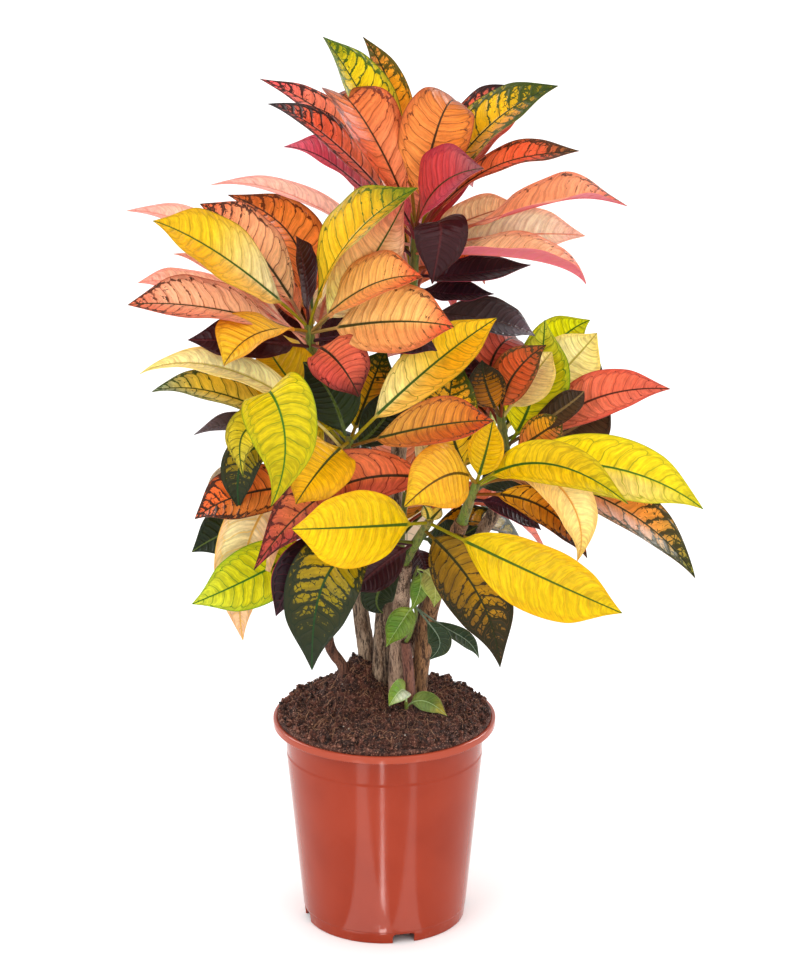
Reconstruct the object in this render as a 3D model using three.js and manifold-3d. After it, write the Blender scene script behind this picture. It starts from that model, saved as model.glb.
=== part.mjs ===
// A potted croton: a terracotta-coloured plastic pot, compost, woody stems and leafy heads.
// Millimetres, +Z up, origin on the pot's axis at the level that the pot stands on, front towards -Y.
import * as THREE from "three";
import { mergeVertices } from "three/addons/utils/BufferGeometryUtils.js";
import Module from "manifold-3d";

const wasm = await Module();
wasm.setup();

const pot = {
  height: 212,
  rimRadius: 110,
  rimRound: 1.8,
  mouthRadius: 106,
  lipHeight: 8,
  neckRadius: 100,
  footRadius: 80,
  footRound: 1.5,
  footHeight: 12,
  footLine: 0.6,
  footWall: 3.5,
  middleRadius: 24,
  middleSlope: 4,
  wall: 2,
  floor: 2.5,
  stepBelowRim: 37,
  stepDepth: 0.6,
  notchWidth: 22,
  notchHeight: 10,
  notchTurns: [14, 104, 194, 284],
  drainRadius: 7,
  drainRing: 48,
  drainCount: 6,
  drainSides: 12,
  sides: 32,
};

const soil = {
  edgeLevel: 215,
  heap: 15,
  heapFlatness: 6,
  mounds: [
    { x: -24, y: 12, height: 40, reach: 22 },
    { x: 26, y: -4, height: 6, reach: 22 },
  ],
  lumps: 0.9,
  lumpWaves: [0.21, 0.17],
  clearance: 0.4,
  rings: 7,
};

// The camera that the photograph was taken with, as fitted to the pot. A place on the plant is given
// as [column, row, depth]: a pixel of the 810 x 978 photograph, and millimetres behind the pot's axis.
const photo = {
  pitch: THREE.MathUtils.degToRad(19),
  range: 4000,
  focal: 4120,
  centre: [405, 489],
  aim: new THREE.Vector3(20.4, 0, 448),
};
const ahead = new THREE.Vector3(0, Math.cos(photo.pitch), -Math.sin(photo.pitch));
const upInView = new THREE.Vector3(0, Math.sin(photo.pitch), Math.cos(photo.pitch));
const toViewer = ahead.clone().negate();
const eye = photo.aim.clone().addScaledVector(ahead, -photo.range);
const up = new THREE.Vector3(0, 0, 1);

const blade = {
  thickness: 0.9,
  tipWidth: 1.8,
  stalkWidth: 3.4,
  stalkThickness: 3,
  stalkSamples: 4,
  rootInset: 2,
  samples: 24,
  levelAt: 0.6,
  cuts: [0.12, 0.4, 0.72, 1],
  plainCuts: [0.15, 0.55, 1],
  plainBelow: 47,
  fullness: 3.24,
  baseRounding: 0.8,
  tipTaper: 0.9,
  foldStart: 6,
};

const stem = {
  buried: 60,
  sides: 8,
  steps: 8,
  shootRadii: [5, 3.5],
  shootSides: 6,
  shootSteps: 2,
  stubSteps: 3,
  holeClearance: 0.4,
  cutGap: 0.15,
};

// Leaves of the far side, which the photograph doesn't show: their spread round the shoot, and the
// least and extra length, width and droop that each one draws.
const farLeaf = {
  goldenShare: 0.618,
  firstTurn: 0.3,
  riseSpread: 10,
  reach: [150, 40],
  wide: [52, 14],
  droop: [28, 16],
  bendAt: 0.52,
  tipAt: 0.94,
  levelling: 0.9,
  fold: 16,
  firstSeed: 1065,
};

// The leafy heads. A head's green shoot runs from its foot, on the woody stem, up to its growth point.
// The stem's route starts at the soil. A leaf is [how far below the growth point it is rooted, the
// places that its midrib passes, its width, its roll in degrees, the fold of its halves in degrees,
// and the length of its bare stalk in midrib samples where that isn't the usual one].
const heads = [
  {
    name: "top",
    colour: 0xd9603c,
    growth: [416, 226, 10],
    foot: [410, 335, 20],
    route: [[380.5, 668, 2], [384, 610, 6], [394, 500, 18], [404, 400, 24]],
    radii: [8, 6.5],
    far: { count: 9, turns: [60, 118], rises: [20, 55], roots: [24, 95] },
    leaves: [
      [6, [[372, 118, 30], [323, 37, 20]], 66, 45, 24],
      [8, [[398, 112, 66], [363, 37, 70]], 34, 15, 22],
      [10, [[388, 165, -8], [354, 107, -6], [334, 99, 38]], 76, 42, 20],
      [5, [[428, 165, 4], [442, 116, 2], [456, 101, 40]], 72, -6, 18],
      [12, [[438, 188, -35], [484, 169, -52]], 76, -46, 20],
      [10, [[478, 138, 14], [558, 86, 6]], 66, -50, 18],
      [12, [[468, 132, 54], [512, 86, 64]], 46, -35, 18],
      [14, [[475, 150, 30], [526, 110, 32]], 50, -48, 18],
      [18, [[472, 180, -8], [528, 157, -16], [579, 151, -20]], 46, -56, 18],
      [16, [[519, 211, -30], [577, 198, -36], [627, 206, -36]], 76, -66, 22],
      [22, [[470, 220, 26], [520, 205, 34]], 50, -50, 18],
      [24, [[508, 236, 6], [585, 236, 2]], 58, -42, 18],
      [28, [[480, 254, -34], [545, 262, -42], [586, 284, -44]], 64, -70, 32],
      [20, [[438, 222, -28], [440, 242, -42], [432, 284, -44]], 52, 0, 10],
      [50, [[466, 275, -4], [531, 265, 0]], 46, -52, 18],
      [44, [[462, 262, 20], [498, 259, 24]], 34, -45, 18],
      [62, [[448, 294, -6], [494, 294, -8]], 38, -50, 18],
      [14, [[361, 188, 16], [322, 158, 8], [284, 147, 2]], 56, 58, 20],
      [8, [[337, 146, 12], [268, 104, 4]], 48, 52, 18],
      [2, [[364, 152, 50], [314, 107, 62], [260, 79, 66]], 40, 44, 18],
      [20, [[345, 222, 24], [284, 193, 28], [211, 185, 26]], 44, 64, 18],
      [34, [[386, 244, 2], [350, 264, -4]], 36, 20, 18],
      [16, [[398, 208, -16], [378, 224, -20]], 32, 5, 18],
      [90, [[482, 319, -4], [535, 336, -6]], 50, -42, 18],
    ],
  },
  {
    name: "upper_left",
    colour: 0xe8a05c,
    growth: [308, 324, -20],
    foot: [318, 385, -12],
    route: [[367, 660, 16], [360, 605, 16], [350, 500, 6], [330, 430, -6]],
    radii: [8, 6],
    far: { count: 6, turns: [70, 138], rises: [10, 42], roots: [22, 50] },
    leaves: [
      [4, [[226, 259, -58], [153, 221, -72]], 74, 42, 17],
      [9, [[256, 250, -14], [200, 204, -14]], 58, 32, 18],
      [10, [[304, 268, 18], [281, 225, 38], [228, 195, 38]], 66, 38, 18],
      [6, [[304, 275, -32], [296, 236, -40]], 40, 60, 15],
      [5, [[348, 244, -54], [418, 188, -52]], 78, -57, 24],
      [12, [[362, 274, -36], [404, 202, -28]], 60, -12, 16],
      [10, [[366, 288, -64], [423, 277, -68]], 68, -48, 20],
      [10, [[388, 322, -74], [454, 327, -84]], 74, -20, 15],
      [22, [[337, 361, -72], [359, 397, -84]], 60, -8, 22],
      [8, [[258, 334, -68], [224, 366, -90]], 74, 52, 20, 4],
      [12, [[212, 309, -44], [128, 305, -52]], 70, 52, 20],
      [16, [[208, 291, 0], [138, 283, -4]], 38, 50, 18],
      [10, [[216, 241, 16], [127, 211, 8]], 44, 52, 18],
      [28, [[236, 282, -26], [173, 254, -34]], 28, 50, 18],
      [24, [[252, 342, -52], [188, 340, -58]], 52, 35, 18],
      [18, [[388, 336, -62], [437, 351, -70]], 34, -10, 15],
      [26, [[334, 338, 6], [354, 312, 14]], 36, 0, 14],
    ],
  },
  {
    name: "left",
    colour: 0xc9a93a,
    growth: [350, 438, -60],
    foot: [326, 550, -40],
    route: [[344, 672, 4], [330, 646, 0], [322, 600, -20]],
    radii: [4.6, 4.6],
    far: { count: 3, turns: [126, 152], rises: [5, 30], roots: [30, 90] },
    leaves: [
      [50, [[270, 396, -72], [281, 415, -114], [271, 506, -126]], 72, 0, 14, 8],
      [4, [[323, 466, -110], [296, 504, -124]], 68, 12, 22],
      [6, [[427, 370, -62], [497, 318, -36]], 56, -20, 17],
      [10, [[430, 427, -104], [494, 421, -108]], 56, -34, 17],
      [12, [[332, 398, -50], [303, 362, -42]], 58, 10, 16],
      [4, [[324, 420, -50], [296, 405, -50]], 30, 0, 14, 7],
      [12, [[294, 386, -34], [264, 342, 0]], 66, 0, 16],
      [18, [[280, 394, -62], [206, 365, -58], [140, 374, -64]], 44, 50, 18],
      [24, [[236, 399, -52], [152, 392, -78]], 50, 50, 18],
      [34, [[262, 428, -52], [194, 435, -58]], 36, 56, 18],
      [44, [[264, 446, -74], [239, 470, -80], [239, 510, -84]], 38, 0, 16],
      [36, [[257, 426, -92], [243, 476, -102]], 40, 0, 16],
      [56, [[254, 492, -70], [195, 519, -80]], 56, 20, 16],
      [76, [[250, 524, -36], [192, 552, -42]], 56, 20, 16],
      [60, [[276, 497, -58], [244, 560, -64], [243, 640, -66]], 62, 0, 16],
      [104, [[264, 571, -74], [192, 604, -92]], 62, 0, 18],
      [8, [[368, 394, -6], [386, 348, 0]], 54, 0, 14],
      [14, [[380, 424, -34], [404, 382, -27]], 44, 0, 14],
    ],
  },
  {
    name: "rear_right",
    colour: 0xb8b04a,
    growth: [500, 412, 0],
    foot: [509, 475, 2],
    route: [[400, 672, 26], [440, 580, 20], [490, 520, 10]],
    radii: [7, 6],
    far: { count: 6, turns: [60, 150], rises: [15, 42], roots: [16, 40] },
    leaves: [
      [40, [[534, 392, 2], [545, 320, 18]], 66, 0, 14],
      [8, [[512, 378, -30], [546, 345, -30]], 44, -12, 18],
      [8, [[530, 380, -8], [552, 352, -2]], 50, -15, 16],
      [20, [[562, 372, 28], [597, 333, 22]], 62, 0, 14],
      [14, [[546, 354, 50], [590, 320, 54]], 54, 10, 14],
      [56, [[562, 416, 8], [615, 393, 2], [670, 389, -6]], 52, -28, 14],
      [30, [[570, 396, 46], [593, 347, 54]], 44, 30, 14],
      [50, [[574, 428, 24], [610, 402, 24]], 58, 0, 14],
      [36, [[560, 411, -14], [584, 391, -14]], 28, -20, 14],
      [46, [[540, 434, -16], [563, 418, -14]], 36, 0, 14],
      [4, [[489, 374, -4], [502, 344, 0], [520, 342, 36]], 62, -5, 16],
      [4, [[478, 384, -14], [466, 349, -14]], 26, 0, 14],
      [6, [[487, 388, -34], [482, 360, -40]], 38, 0, 14],
    ],
  },
  {
    name: "right",
    colour: 0xe0a030,
    growth: [477, 482, -70],
    foot: [462, 522, -56],
    route: [[418, 691, 0], [428, 620, -8], [446, 560, -36]],
    radii: [8.6, 6.5],
    leaves: [
      [4, [[547, 464, -108], [628, 504, -124]], 48, -8, 28, 3],
      [6, [[552, 464, -76], [633, 473, -84], [703, 509, -92]], 62, -5, 18],
      [16, [[542, 507, -92], [587, 558, -96]], 40, -25, 16],
      [6, [[552, 482, -68], [635, 517, -90], [695, 578, -98]], 58, -42, 18],
      [6, [[532, 470, -92], [573, 506, -108], [577, 561, -114]], 46, -20, 18],
      [22, [[508, 508, -78], [541, 530, -78]], 26, -30, 14],
      [6, [[486, 452, -86], [493, 420, -90]], 36, -10, 14],
      [4, [[450, 420, -66], [461, 353, -42]], 56, 0, 14],
      [2, [[448, 475, -118], [404, 507, -134]], 64, 0, 6],
      [10, [[385, 476, -84], [315, 501, -92], [254, 570, -100]], 66, 20, 16],
      [14, [[502, 474, -30], [534, 460, -22]], 40, 0, 14],
    ],
  },
  {
    name: "low_middle",
    colour: 0xe6b81e,
    growth: [430, 520, -60],
    foot: [404, 562, -36],
    route: [[397, 682, -8], [400, 620, -14]],
    radii: [8.2, 7.5],
    leaves: [
      [4, [[355, 527, -126], [292, 529, -142]], 78, -12, 16, 3],
      [4, [[531, 572, -124], [622, 613, -138]], 74, 22, 16, 4],
      [14, [[448, 553, -82], [480, 598, -98], [500, 667, -98]], 66, 0, 16],
      [34, [[348, 552, -92], [318, 600, -112], [312, 670, -108]], 72, 0, 14],
      [36, [[340, 548, -78], [297, 576, -95], [276, 616, -100]], 50, 10, 14],
      [30, [[382, 566, -52], [350, 592, -60]], 40, 0, 14],
      [32, [[380, 588, -44], [383, 613, -48]], 34, 0, 14],
      [4, [[427, 512, -66], [423, 505, -70]], 12, 0, 14],
      [4, [[436, 514, -58], [442, 508, -56]], 12, 0, 14],
      [24, [[446, 540, -14], [478, 526, -10]], 40, 0, 14],
      [34, [[424, 566, -10], [436, 590, 6]], 34, 0, 14],
    ],
  },
  {
    name: "rear",
    colour: 0xb9a04a,
    growth: [404, 492, 76],
    foot: [398, 566, 66],
    route: [[392, 668, 52], [394, 605, 58]],
    radii: [7.5, 6.5],
    far: { count: 13, turns: [0, 180], rises: [5, 40], roots: [4, 70] },
    leaves: [],
  },
];

// The cut-off stub, the young shoot on its top and the little sprout beside its foot. Their leaves
// are rooted at a share of the stalk's way from its foot to its tip.
const stub = {
  base: [410, 692, -24],
  top: [406, 642, -23],
  buried: 45,
  radii: [5.4, 4.8],
};

const youngShoot = {
  route: [[411, 632, -26], [416, 613, -30], [411, 590, -34], [418, 566, -38]],
  radii: [1.8, 1.2],
  steps: 6,
  blade: { stalkWidth: 1.8, stalkThickness: 1.6, rootInset: 0.6 },
  leaves: [
    [0.6, [[403, 620, -40], [386, 647, -48]], 27, 10, 16],
    [0.6, [[432, 627, -40], [440, 643, -46], [429, 660, -50]], 24, 0, 14, 6],
    [0.58, [[446, 628, -36], [466, 640, -40], [479, 658, -42]], 17, -20, 16, 5],
    [0.96, [[421, 584, -44], [411, 611, -46]], 18, 0, 14],
    [0.97, [[433, 580, -54], [434, 607, -62]], 26, 0, 12],
  ],
};

const basalSprout = {
  route: [[407, 732, -36], [407, 716, -35], [406, 702, -34]],
  radii: [2, 1.6],
  steps: 4,
  blade: { stalkWidth: 2, stalkThickness: 1.8, rootInset: 0.6 },
  leaves: [
    [0.9, [[404, 690, -34], [397, 694, -46], [389, 706, -52]], 24, 0, 30],
    [0.8, [[424, 701, -40], [447, 716, -46]], 20, -10, 12],
  ],
};

const finishes = {
  pot: { color: 0xc0523f, roughness: 0.38, metalness: 0 },
  soil: { color: 0x3e2a22, roughness: 0.95, metalness: 0 },
  bark: { color: 0x7d6250, roughness: 0.85, metalness: 0 },
  leaf: { roughness: 0.42, metalness: 0 },
  youngLeaf: { color: 0x6f9a35, roughness: 0.4, metalness: 0 },
};

const degrees = THREE.MathUtils.degToRad;

// Where a place in the photograph lies: on the line of sight through its pixel, at its depth.
function at([column, row, depth]) {
  const sight = ahead.clone();
  sight.x += (column - photo.centre[0]) / photo.focal;
  sight.addScaledVector(upInView, (photo.centre[1] - row) / photo.focal);
  return eye.clone().addScaledVector(sight, (depth - eye.y) / sight.y);
}

function asSolid(positions, triangles) {
  const vertProperties = new Float32Array(positions);
  const triVerts = new Uint32Array(triangles);
  return new wasm.Manifold(new wasm.Mesh({ numProp: 3, vertProperties, triVerts }));
}

function solidFrom(geometry) {
  const bare = geometry.clone();
  bare.deleteAttribute("normal");
  bare.deleteAttribute("uv");
  const merged = mergeVertices(bare);
  return asSolid(merged.attributes.position.array, merged.index.array);
}

function geometryFrom(solid) {
  const mesh = solid.getMesh();
  const geometry = new THREE.BufferGeometry();
  geometry.setAttribute("position", new THREE.BufferAttribute(mesh.vertProperties, 3));
  geometry.setIndex(new THREE.BufferAttribute(mesh.triVerts, 1));
  geometry.computeVertexNormals();
  return geometry;
}

function fuse(solids) {
  return solids.reduce((whole, piece) => whole.add(piece));
}

// A closed skin over rings of equal counts, clockwise as seen along the row. The two halves of the
// rings are split along mirrored diagonals, so that both faces of a thin blade have like triangles.
function loft(rings) {
  const count = rings[0].length;
  const positions = rings.flat().flatMap((point) => point.toArray());
  const triangles = [];
  for (let k = 0; k < rings.length - 1; k += 1) {
    for (let j = 0; j < count; j += 1) {
      const a = k * count + j;
      const b = k * count + ((j + 1) % count);
      const c = b + count;
      const d = a + count;
      if (j < count / 2) {
        triangles.push(a, b, c, a, c, d);
      } else {
        triangles.push(a, b, d, b, c, d);
      }
    }
  }
  const hub = 1;
  const end = (rings.length - 1) * count;
  for (let j = 2; j < count; j += 1) {
    const next = (j + 1) % count;
    triangles.push(hub, next, j, end + hub, end + j, end + next);
  }
  return asSolid(positions, triangles);
}

// The single polynomial curve through all the points, at a share of its way.
function through(points, share) {
  const last = points.length - 1;
  const spot = new THREE.Vector3();
  points.forEach((point, i) => {
    let weight = 1;
    for (let j = 0; j <= last; j += 1) {
      if (j !== i) {
        weight *= (share * last - j) / (i - j);
      }
    }
    spot.addScaledVector(point, weight);
  });
  return spot;
}

function directionsAlong(spots) {
  const last = spots.length - 1;
  return spots.map((_, i) => {
    const next = spots[Math.min(i + 1, last)];
    const previous = spots[Math.max(i - 1, 0)];
    return next.clone().sub(previous).normalize();
  });
}

function midribOf(points) {
  return Array.from({ length: blade.samples + 1 }, (_, i) => through(points, i / blade.samples));
}

const levelSample = Math.round(blade.levelAt * blade.samples);

// The blade's left side along its midrib: square to the view where the blade is level, turned by
// its roll there, and carried without twist from there to both ends.
function leftSides(along, roll) {
  const sides = [];
  sides[levelSample] = toViewer.clone().cross(along[levelSample]).normalize();
  sides[levelSample].applyAxisAngle(along[levelSample], degrees(roll));
  for (let i = levelSample + 1; i < along.length; i += 1) {
    sides[i] = sides[i - 1].clone().projectOnPlane(along[i]).normalize();
  }
  for (let i = levelSample - 1; i >= 0; i -= 1) {
    sides[i] = sides[i + 1].clone().projectOnPlane(along[i]).normalize();
  }
  return sides;
}

function halfWidth(wide, share) {
  const outline = blade.fullness * share ** blade.baseRounding * (1 - share) ** blade.tipTaper;
  return Math.max((wide * outline) / 2, blade.tipWidth / 2);
}

// One leaf: a stalk that widens into a pointed blade, its halves folded up along the midrib.
function leaf({ points, wide, roll, fold, stalk = blade.stalkSamples, form = blade, cuts = blade.cuts }) {
  const spots = midribOf(points);
  const along = directionsAlong(spots);
  const sides = leftSides(along, roll);
  const bladeSamples = blade.samples - stalk;
  const samples = cuts.map((share) => stalk + Math.round(share * bladeSamples));
  spots[0].lerp(spots[1], form.rootInset / spots[0].distanceTo(spots[1]));
  const rings = [0, stalk, ...samples].map((i) => {
    const share = (i - stalk) / bladeSamples;
    const onStalk = share <= 0;
    const half = onStalk ? form.stalkWidth / 2 : halfWidth(wide, share);
    const thick = onStalk ? form.stalkThickness : blade.thickness;
    const lift = onStalk ? 0 : degrees(fold) * Math.min(1, share * blade.foldStart);
    const face = along[i].clone().cross(sides[i]);
    const middle = spots[i];
    const left = middle.clone().addScaledVector(sides[i], half * Math.cos(lift));
    left.addScaledVector(face, half * Math.sin(lift));
    const right = middle.clone().addScaledVector(sides[i], -half * Math.cos(lift));
    right.addScaledVector(face, half * Math.sin(lift));
    const above = [left, middle, right].map((p) => p.clone().addScaledVector(face, thick / 2));
    const below = [right, middle, left].map((p) => p.clone().addScaledVector(face, -thick / 2));
    return [...above, ...below];
  });
  return loft(rings);
}

// A round stalk or stem along the points, from the first radius to the last. Its ends are cut square
// to its own direction, or to the one given for them. What is grown is as much thicker all round.
function branch({ points, radii, sides, steps, first, last, grown = 0 }) {
  const curve = new THREE.CatmullRomCurve3(points, false, "catmullrom");
  const spots = Array.from({ length: steps + 1 }, (_, i) => curve.getPoint(i / steps));
  const along = directionsAlong(spots);
  along[0] = first ?? along[0];
  along[steps] = last ?? along[steps];
  spots[0].addScaledVector(along[0], -grown);
  let side = new THREE.Vector3(1, 0, 0);
  const rings = spots.map((spot, i) => {
    side = side.clone().projectOnPlane(along[i]).normalize();
    const other = along[i].clone().cross(side);
    const radius = THREE.MathUtils.lerp(radii[0], radii[1], i / steps) + grown;
    return Array.from({ length: sides }, (_, j) => {
      const turn = (j / sides) * 2 * Math.PI;
      const out = side.clone().multiplyScalar(radius * Math.cos(turn));
      return out.addScaledVector(other, radius * Math.sin(turn)).add(spot);
    });
  });
  return loft(rings);
}

// A repeatable row of numbers between 0 and 1.
function drawsFrom(seed) {
  let state = seed;
  return () => {
    state = (state * 16807) % 2147483647;
    return state / 2147483647;
  };
}

// The roll that turns a leaf's upper face to the sky.
function levelRoll(points) {
  const along = directionsAlong(midribOf(points))[levelSample];
  const side = toViewer.clone().cross(along).normalize();
  const face = along.clone().cross(side);
  const level = up.clone().cross(along).normalize();
  return THREE.MathUtils.radToDeg(Math.atan2(level.dot(face), level.dot(side)));
}

function farLeaves(head, seed) {
  const growth = at(head.growth);
  const down = at(head.foot).sub(growth);
  const { count, turns, rises, roots } = head.far;
  const draw = drawsFrom(seed);
  const between = ([least, extra]) => least + extra * draw();
  return Array.from({ length: count }, (_, i) => {
    const share = (i + 0.5) / count;
    const wayRound = (i * farLeaf.goldenShare + farLeaf.firstTurn) % 1;
    const turn = degrees(THREE.MathUtils.lerp(turns[0], turns[1], wayRound));
    const spread = farLeaf.riseSpread * (draw() - 0.5);
    const rise = degrees(THREE.MathUtils.lerp(rises[1], rises[0], share) + spread);
    const reach = between(farLeaf.reach);
    const wide = between(farLeaf.wide);
    const droop = degrees(between(farLeaf.droop));
    const below = THREE.MathUtils.lerp(roots[0], roots[1], share);
    const root = growth.clone().addScaledVector(down, Math.min(below / down.length(), 1));
    const outward = new THREE.Vector3(Math.cos(turn), Math.sin(turn), 0);
    const out = (length, angle) => {
      const spot = root.clone().addScaledVector(outward, length * Math.cos(angle));
      return spot.addScaledVector(up, length * Math.sin(angle));
    };
    const points = [root, out(reach * farLeaf.bendAt, rise), out(reach * farLeaf.tipAt, rise - droop)];
    const roll = levelRoll(points) * farLeaf.levelling;
    return leaf({ points, wide, roll, fold: farLeaf.fold, cuts: blade.plainCuts });
  });
}

function seenLeaves(head) {
  const growth = at(head.growth);
  const down = at(head.foot).sub(growth);
  return head.leaves.map(([below, places, wide, roll, fold, stalk]) => {
    const root = growth.clone().addScaledVector(down, Math.min(below / down.length(), 1));
    const cuts = wide < blade.plainBelow ? blade.plainCuts : blade.cuts;
    return leaf({ points: [root, ...places.map(at)], wide, roll, fold, stalk, cuts });
  });
}

function shootDirection(head) {
  return at(head.growth).sub(at(head.foot)).normalize();
}

// A head's green shoot with all its leaves, just clear of the woody stem below it.
function crownSolid(head, index) {
  const direction = shootDirection(head);
  const foot = at(head.foot).addScaledVector(direction, stem.cutGap);
  const points = [foot, at(head.growth)];
  const shoot = branch({ points, radii: stem.shootRadii, sides: stem.shootSides, steps: stem.shootSteps });
  const far = head.far ? farLeaves(head, farLeaf.firstSeed + index) : [];
  return fuse([shoot, ...seenLeaves(head), ...far]);
}

// A woody stem from deep in the soil to the foot of its green shoot.
function stemSolid(head, grown) {
  const last = shootDirection(head);
  const route = head.route.map(at);
  const buried = route[0].clone().addScaledVector(up, -stem.buried);
  const top = at(head.foot).addScaledVector(last, -stem.cutGap);
  const points = [buried, ...route, top];
  return branch({ points, radii: head.radii, sides: stem.sides, steps: stem.steps, last, grown });
}

function stubSolid(grown) {
  const base = at(stub.base);
  const buried = base.clone().addScaledVector(up, -stub.buried);
  const points = [buried, base, at(stub.top)];
  return branch({ points, radii: stub.radii, sides: stem.sides, steps: stem.stubSteps, last: up, grown });
}

function smallLeaves(shoot, route) {
  const curve = new THREE.CatmullRomCurve3(route, false, "catmullrom");
  return shoot.leaves.map(([share, places, wide, roll, fold, stalk]) => {
    const root = curve.getPoint(share);
    const points = [root, ...places.map(at)];
    return leaf({ points, wide, roll, fold, stalk, form: shoot.blade, cuts: blade.plainCuts });
  });
}

// The young shoot stands on the stub's flat top.
function youngShootSolid() {
  const foot = at(stub.top).addScaledVector(up, 2 * stem.cutGap);
  const points = [foot, ...youngShoot.route.map(at)];
  const { radii, steps } = youngShoot;
  const stalk = branch({ points, radii, sides: stem.shootSides, steps, first: up });
  return fuse([stalk, ...smallLeaves(youngShoot, points)]);
}

function sproutStalk(grown) {
  const { route, radii, steps } = basalSprout;
  return branch({ points: route.map(at), radii, sides: stem.shootSides, steps, grown });
}

function sproutSolid() {
  return fuse([sproutStalk(), ...smallLeaves(basalSprout, basalSprout.route.map(at))]);
}

// The outer radius of the pot's wall at a height.
function wallRadius(z) {
  return THREE.MathUtils.mapLinear(z, 0, pot.height - pot.lipHeight, pot.footRadius, pot.neckRadius);
}

function lathe(profile) {
  const points = profile.map(([radius, z]) => new THREE.Vector2(radius, z));
  return solidFrom(new THREE.LatheGeometry(points, pot.sides).rotateX(Math.PI / 2));
}

// The pot stands on the ring under its wall and on the flat middle of its base. The floor between
// them is raised, and holds the drain holes.
function potSolid() {
  const lipUnder = pot.height - pot.lipHeight;
  const step = pot.height - pot.stepBelowRim;
  const floorTop = pot.footHeight + pot.floor;
  const whole = lathe([
    [0, 0],
    [pot.middleRadius, 0],
    [pot.middleRadius + pot.middleSlope, pot.footHeight],
    [pot.footRadius - pot.footWall, pot.footHeight],
    [pot.footRadius - pot.footWall, 0],
    [pot.footRadius - pot.footRound, 0],
    [wallRadius(pot.footRound) - pot.footLine, pot.footRound],
    [wallRadius(pot.footHeight) - pot.footLine, pot.footHeight],
    [wallRadius(pot.footHeight), pot.footHeight + pot.footLine],
    [wallRadius(step), step],
    [wallRadius(step) - pot.stepDepth, step + pot.stepDepth],
    [pot.neckRadius - pot.stepDepth, lipUnder],
    [pot.rimRadius - pot.rimRound, lipUnder],
    [pot.rimRadius, lipUnder + pot.rimRound],
    [pot.rimRadius, pot.height - pot.rimRound],
    [pot.rimRadius - pot.rimRound, pot.height],
    [pot.mouthRadius + pot.rimRound / 2, pot.height],
    [pot.mouthRadius, pot.height - pot.rimRound / 2],
    [pot.neckRadius - pot.stepDepth - pot.wall, lipUnder],
    [wallRadius(floorTop) - pot.wall, floorTop],
    [pot.middleRadius + pot.middleSlope - pot.wall, floorTop],
    [pot.middleRadius - pot.wall, pot.floor],
    [0, pot.floor],
  ]);
  const notches = pot.notchTurns.map((turn) => {
    const box = new THREE.BoxGeometry(pot.notchWidth, pot.footRadius, 2 * pot.notchHeight);
    box.translate(0, -pot.footRadius, 0);
    return solidFrom(box.rotateZ(degrees(turn)));
  });
  const drains = Array.from({ length: pot.drainCount }, (_, i) => {
    const { drainRadius, drainSides, floor } = pot;
    const hole = new THREE.CylinderGeometry(drainRadius, drainRadius, 4 * floor, drainSides);
    hole.rotateX(Math.PI / 2).translate(pot.drainRing, 0, pot.footHeight);
    return solidFrom(hole.rotateZ((i / pot.drainCount) * 2 * Math.PI));
  });
  return whole.subtract(fuse([...notches, ...drains]));
}

function soilLevel(x, y, edgeRadius) {
  const share = Math.hypot(x, y) / edgeRadius;
  const heap = soil.heap * (1 - share ** soil.heapFlatness);
  const mounds = soil.mounds.map((mound) => {
    const distance = Math.hypot(x - mound.x, y - mound.y);
    return mound.height * Math.exp(-((distance / mound.reach) ** 2) / 2);
  });
  const lump = soil.lumps * Math.sin(x * soil.lumpWaves[0]) * Math.sin(y * soil.lumpWaves[1]);
  return soil.edgeLevel + heap + mounds.reduce((total, height) => total + height) + lump * (1 - share);
}

// The compost fills the pot to its mouth and is heaped over it, with a plain hole for each stem.
function soilSolid() {
  const middleInside = pot.middleRadius - pot.wall - soil.clearance;
  const floor = pot.footHeight + pot.floor + soil.clearance;
  const lipUnder = pot.height - pot.lipHeight;
  const neck = pot.neckRadius - pot.stepDepth - pot.wall - soil.clearance;
  const edge = pot.mouthRadius - soil.clearance;
  const ringAt = (radius, levelAt) => Array.from({ length: pot.sides }, (_, j) => {
    const turn = (j / pot.sides) * 2 * Math.PI;
    const x = radius * Math.cos(turn);
    const y = radius * Math.sin(turn);
    return new THREE.Vector3(x, y, levelAt(x, y));
  });
  const level = (x, y) => soilLevel(x, y, edge);
  const rings = [
    ringAt(middleInside, () => pot.floor + soil.clearance),
    ringAt(middleInside + pot.middleSlope, () => floor),
    ringAt(wallRadius(floor) - pot.wall - soil.clearance, () => floor),
    ringAt(neck, () => lipUnder),
    ringAt(edge, () => pot.height - pot.rimRound / 2),
  ];
  for (let i = 0; i < soil.rings; i += 1) {
    rings.push(ringAt(edge * (1 - i / soil.rings), level));
  }
  const holes = heads.map((head) => stemSolid(head, stem.holeClearance));
  holes.push(stubSolid(stem.holeClearance), sproutStalk(stem.holeClearance));
  return loft(rings).subtract(fuse(holes));
}

const plant = new THREE.Group();

function add(name, solid, finish) {
  const material = new THREE.MeshStandardMaterial(finish);
  const mesh = new THREE.Mesh(geometryFrom(solid), material);
  mesh.name = name;
  plant.add(mesh);
}

add("pot", potSolid(), finishes.pot);
add("soil", soilSolid(), finishes.soil);
heads.forEach((head, index) => {
  add(`stem_${head.name}`, stemSolid(head), finishes.bark);
  add(`crown_${head.name}`, crownSolid(head, index), { ...finishes.leaf, color: head.colour });
});
add("stub", stubSolid(), finishes.bark);
add("young_shoot", youngShootSolid(), finishes.youngLeaf);
add("basal_sprout", sproutSolid(), finishes.youngLeaf);

export default plant;
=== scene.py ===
import math

import bmesh
import bpy
import numpy as np
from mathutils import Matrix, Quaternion, Vector, noise


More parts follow.
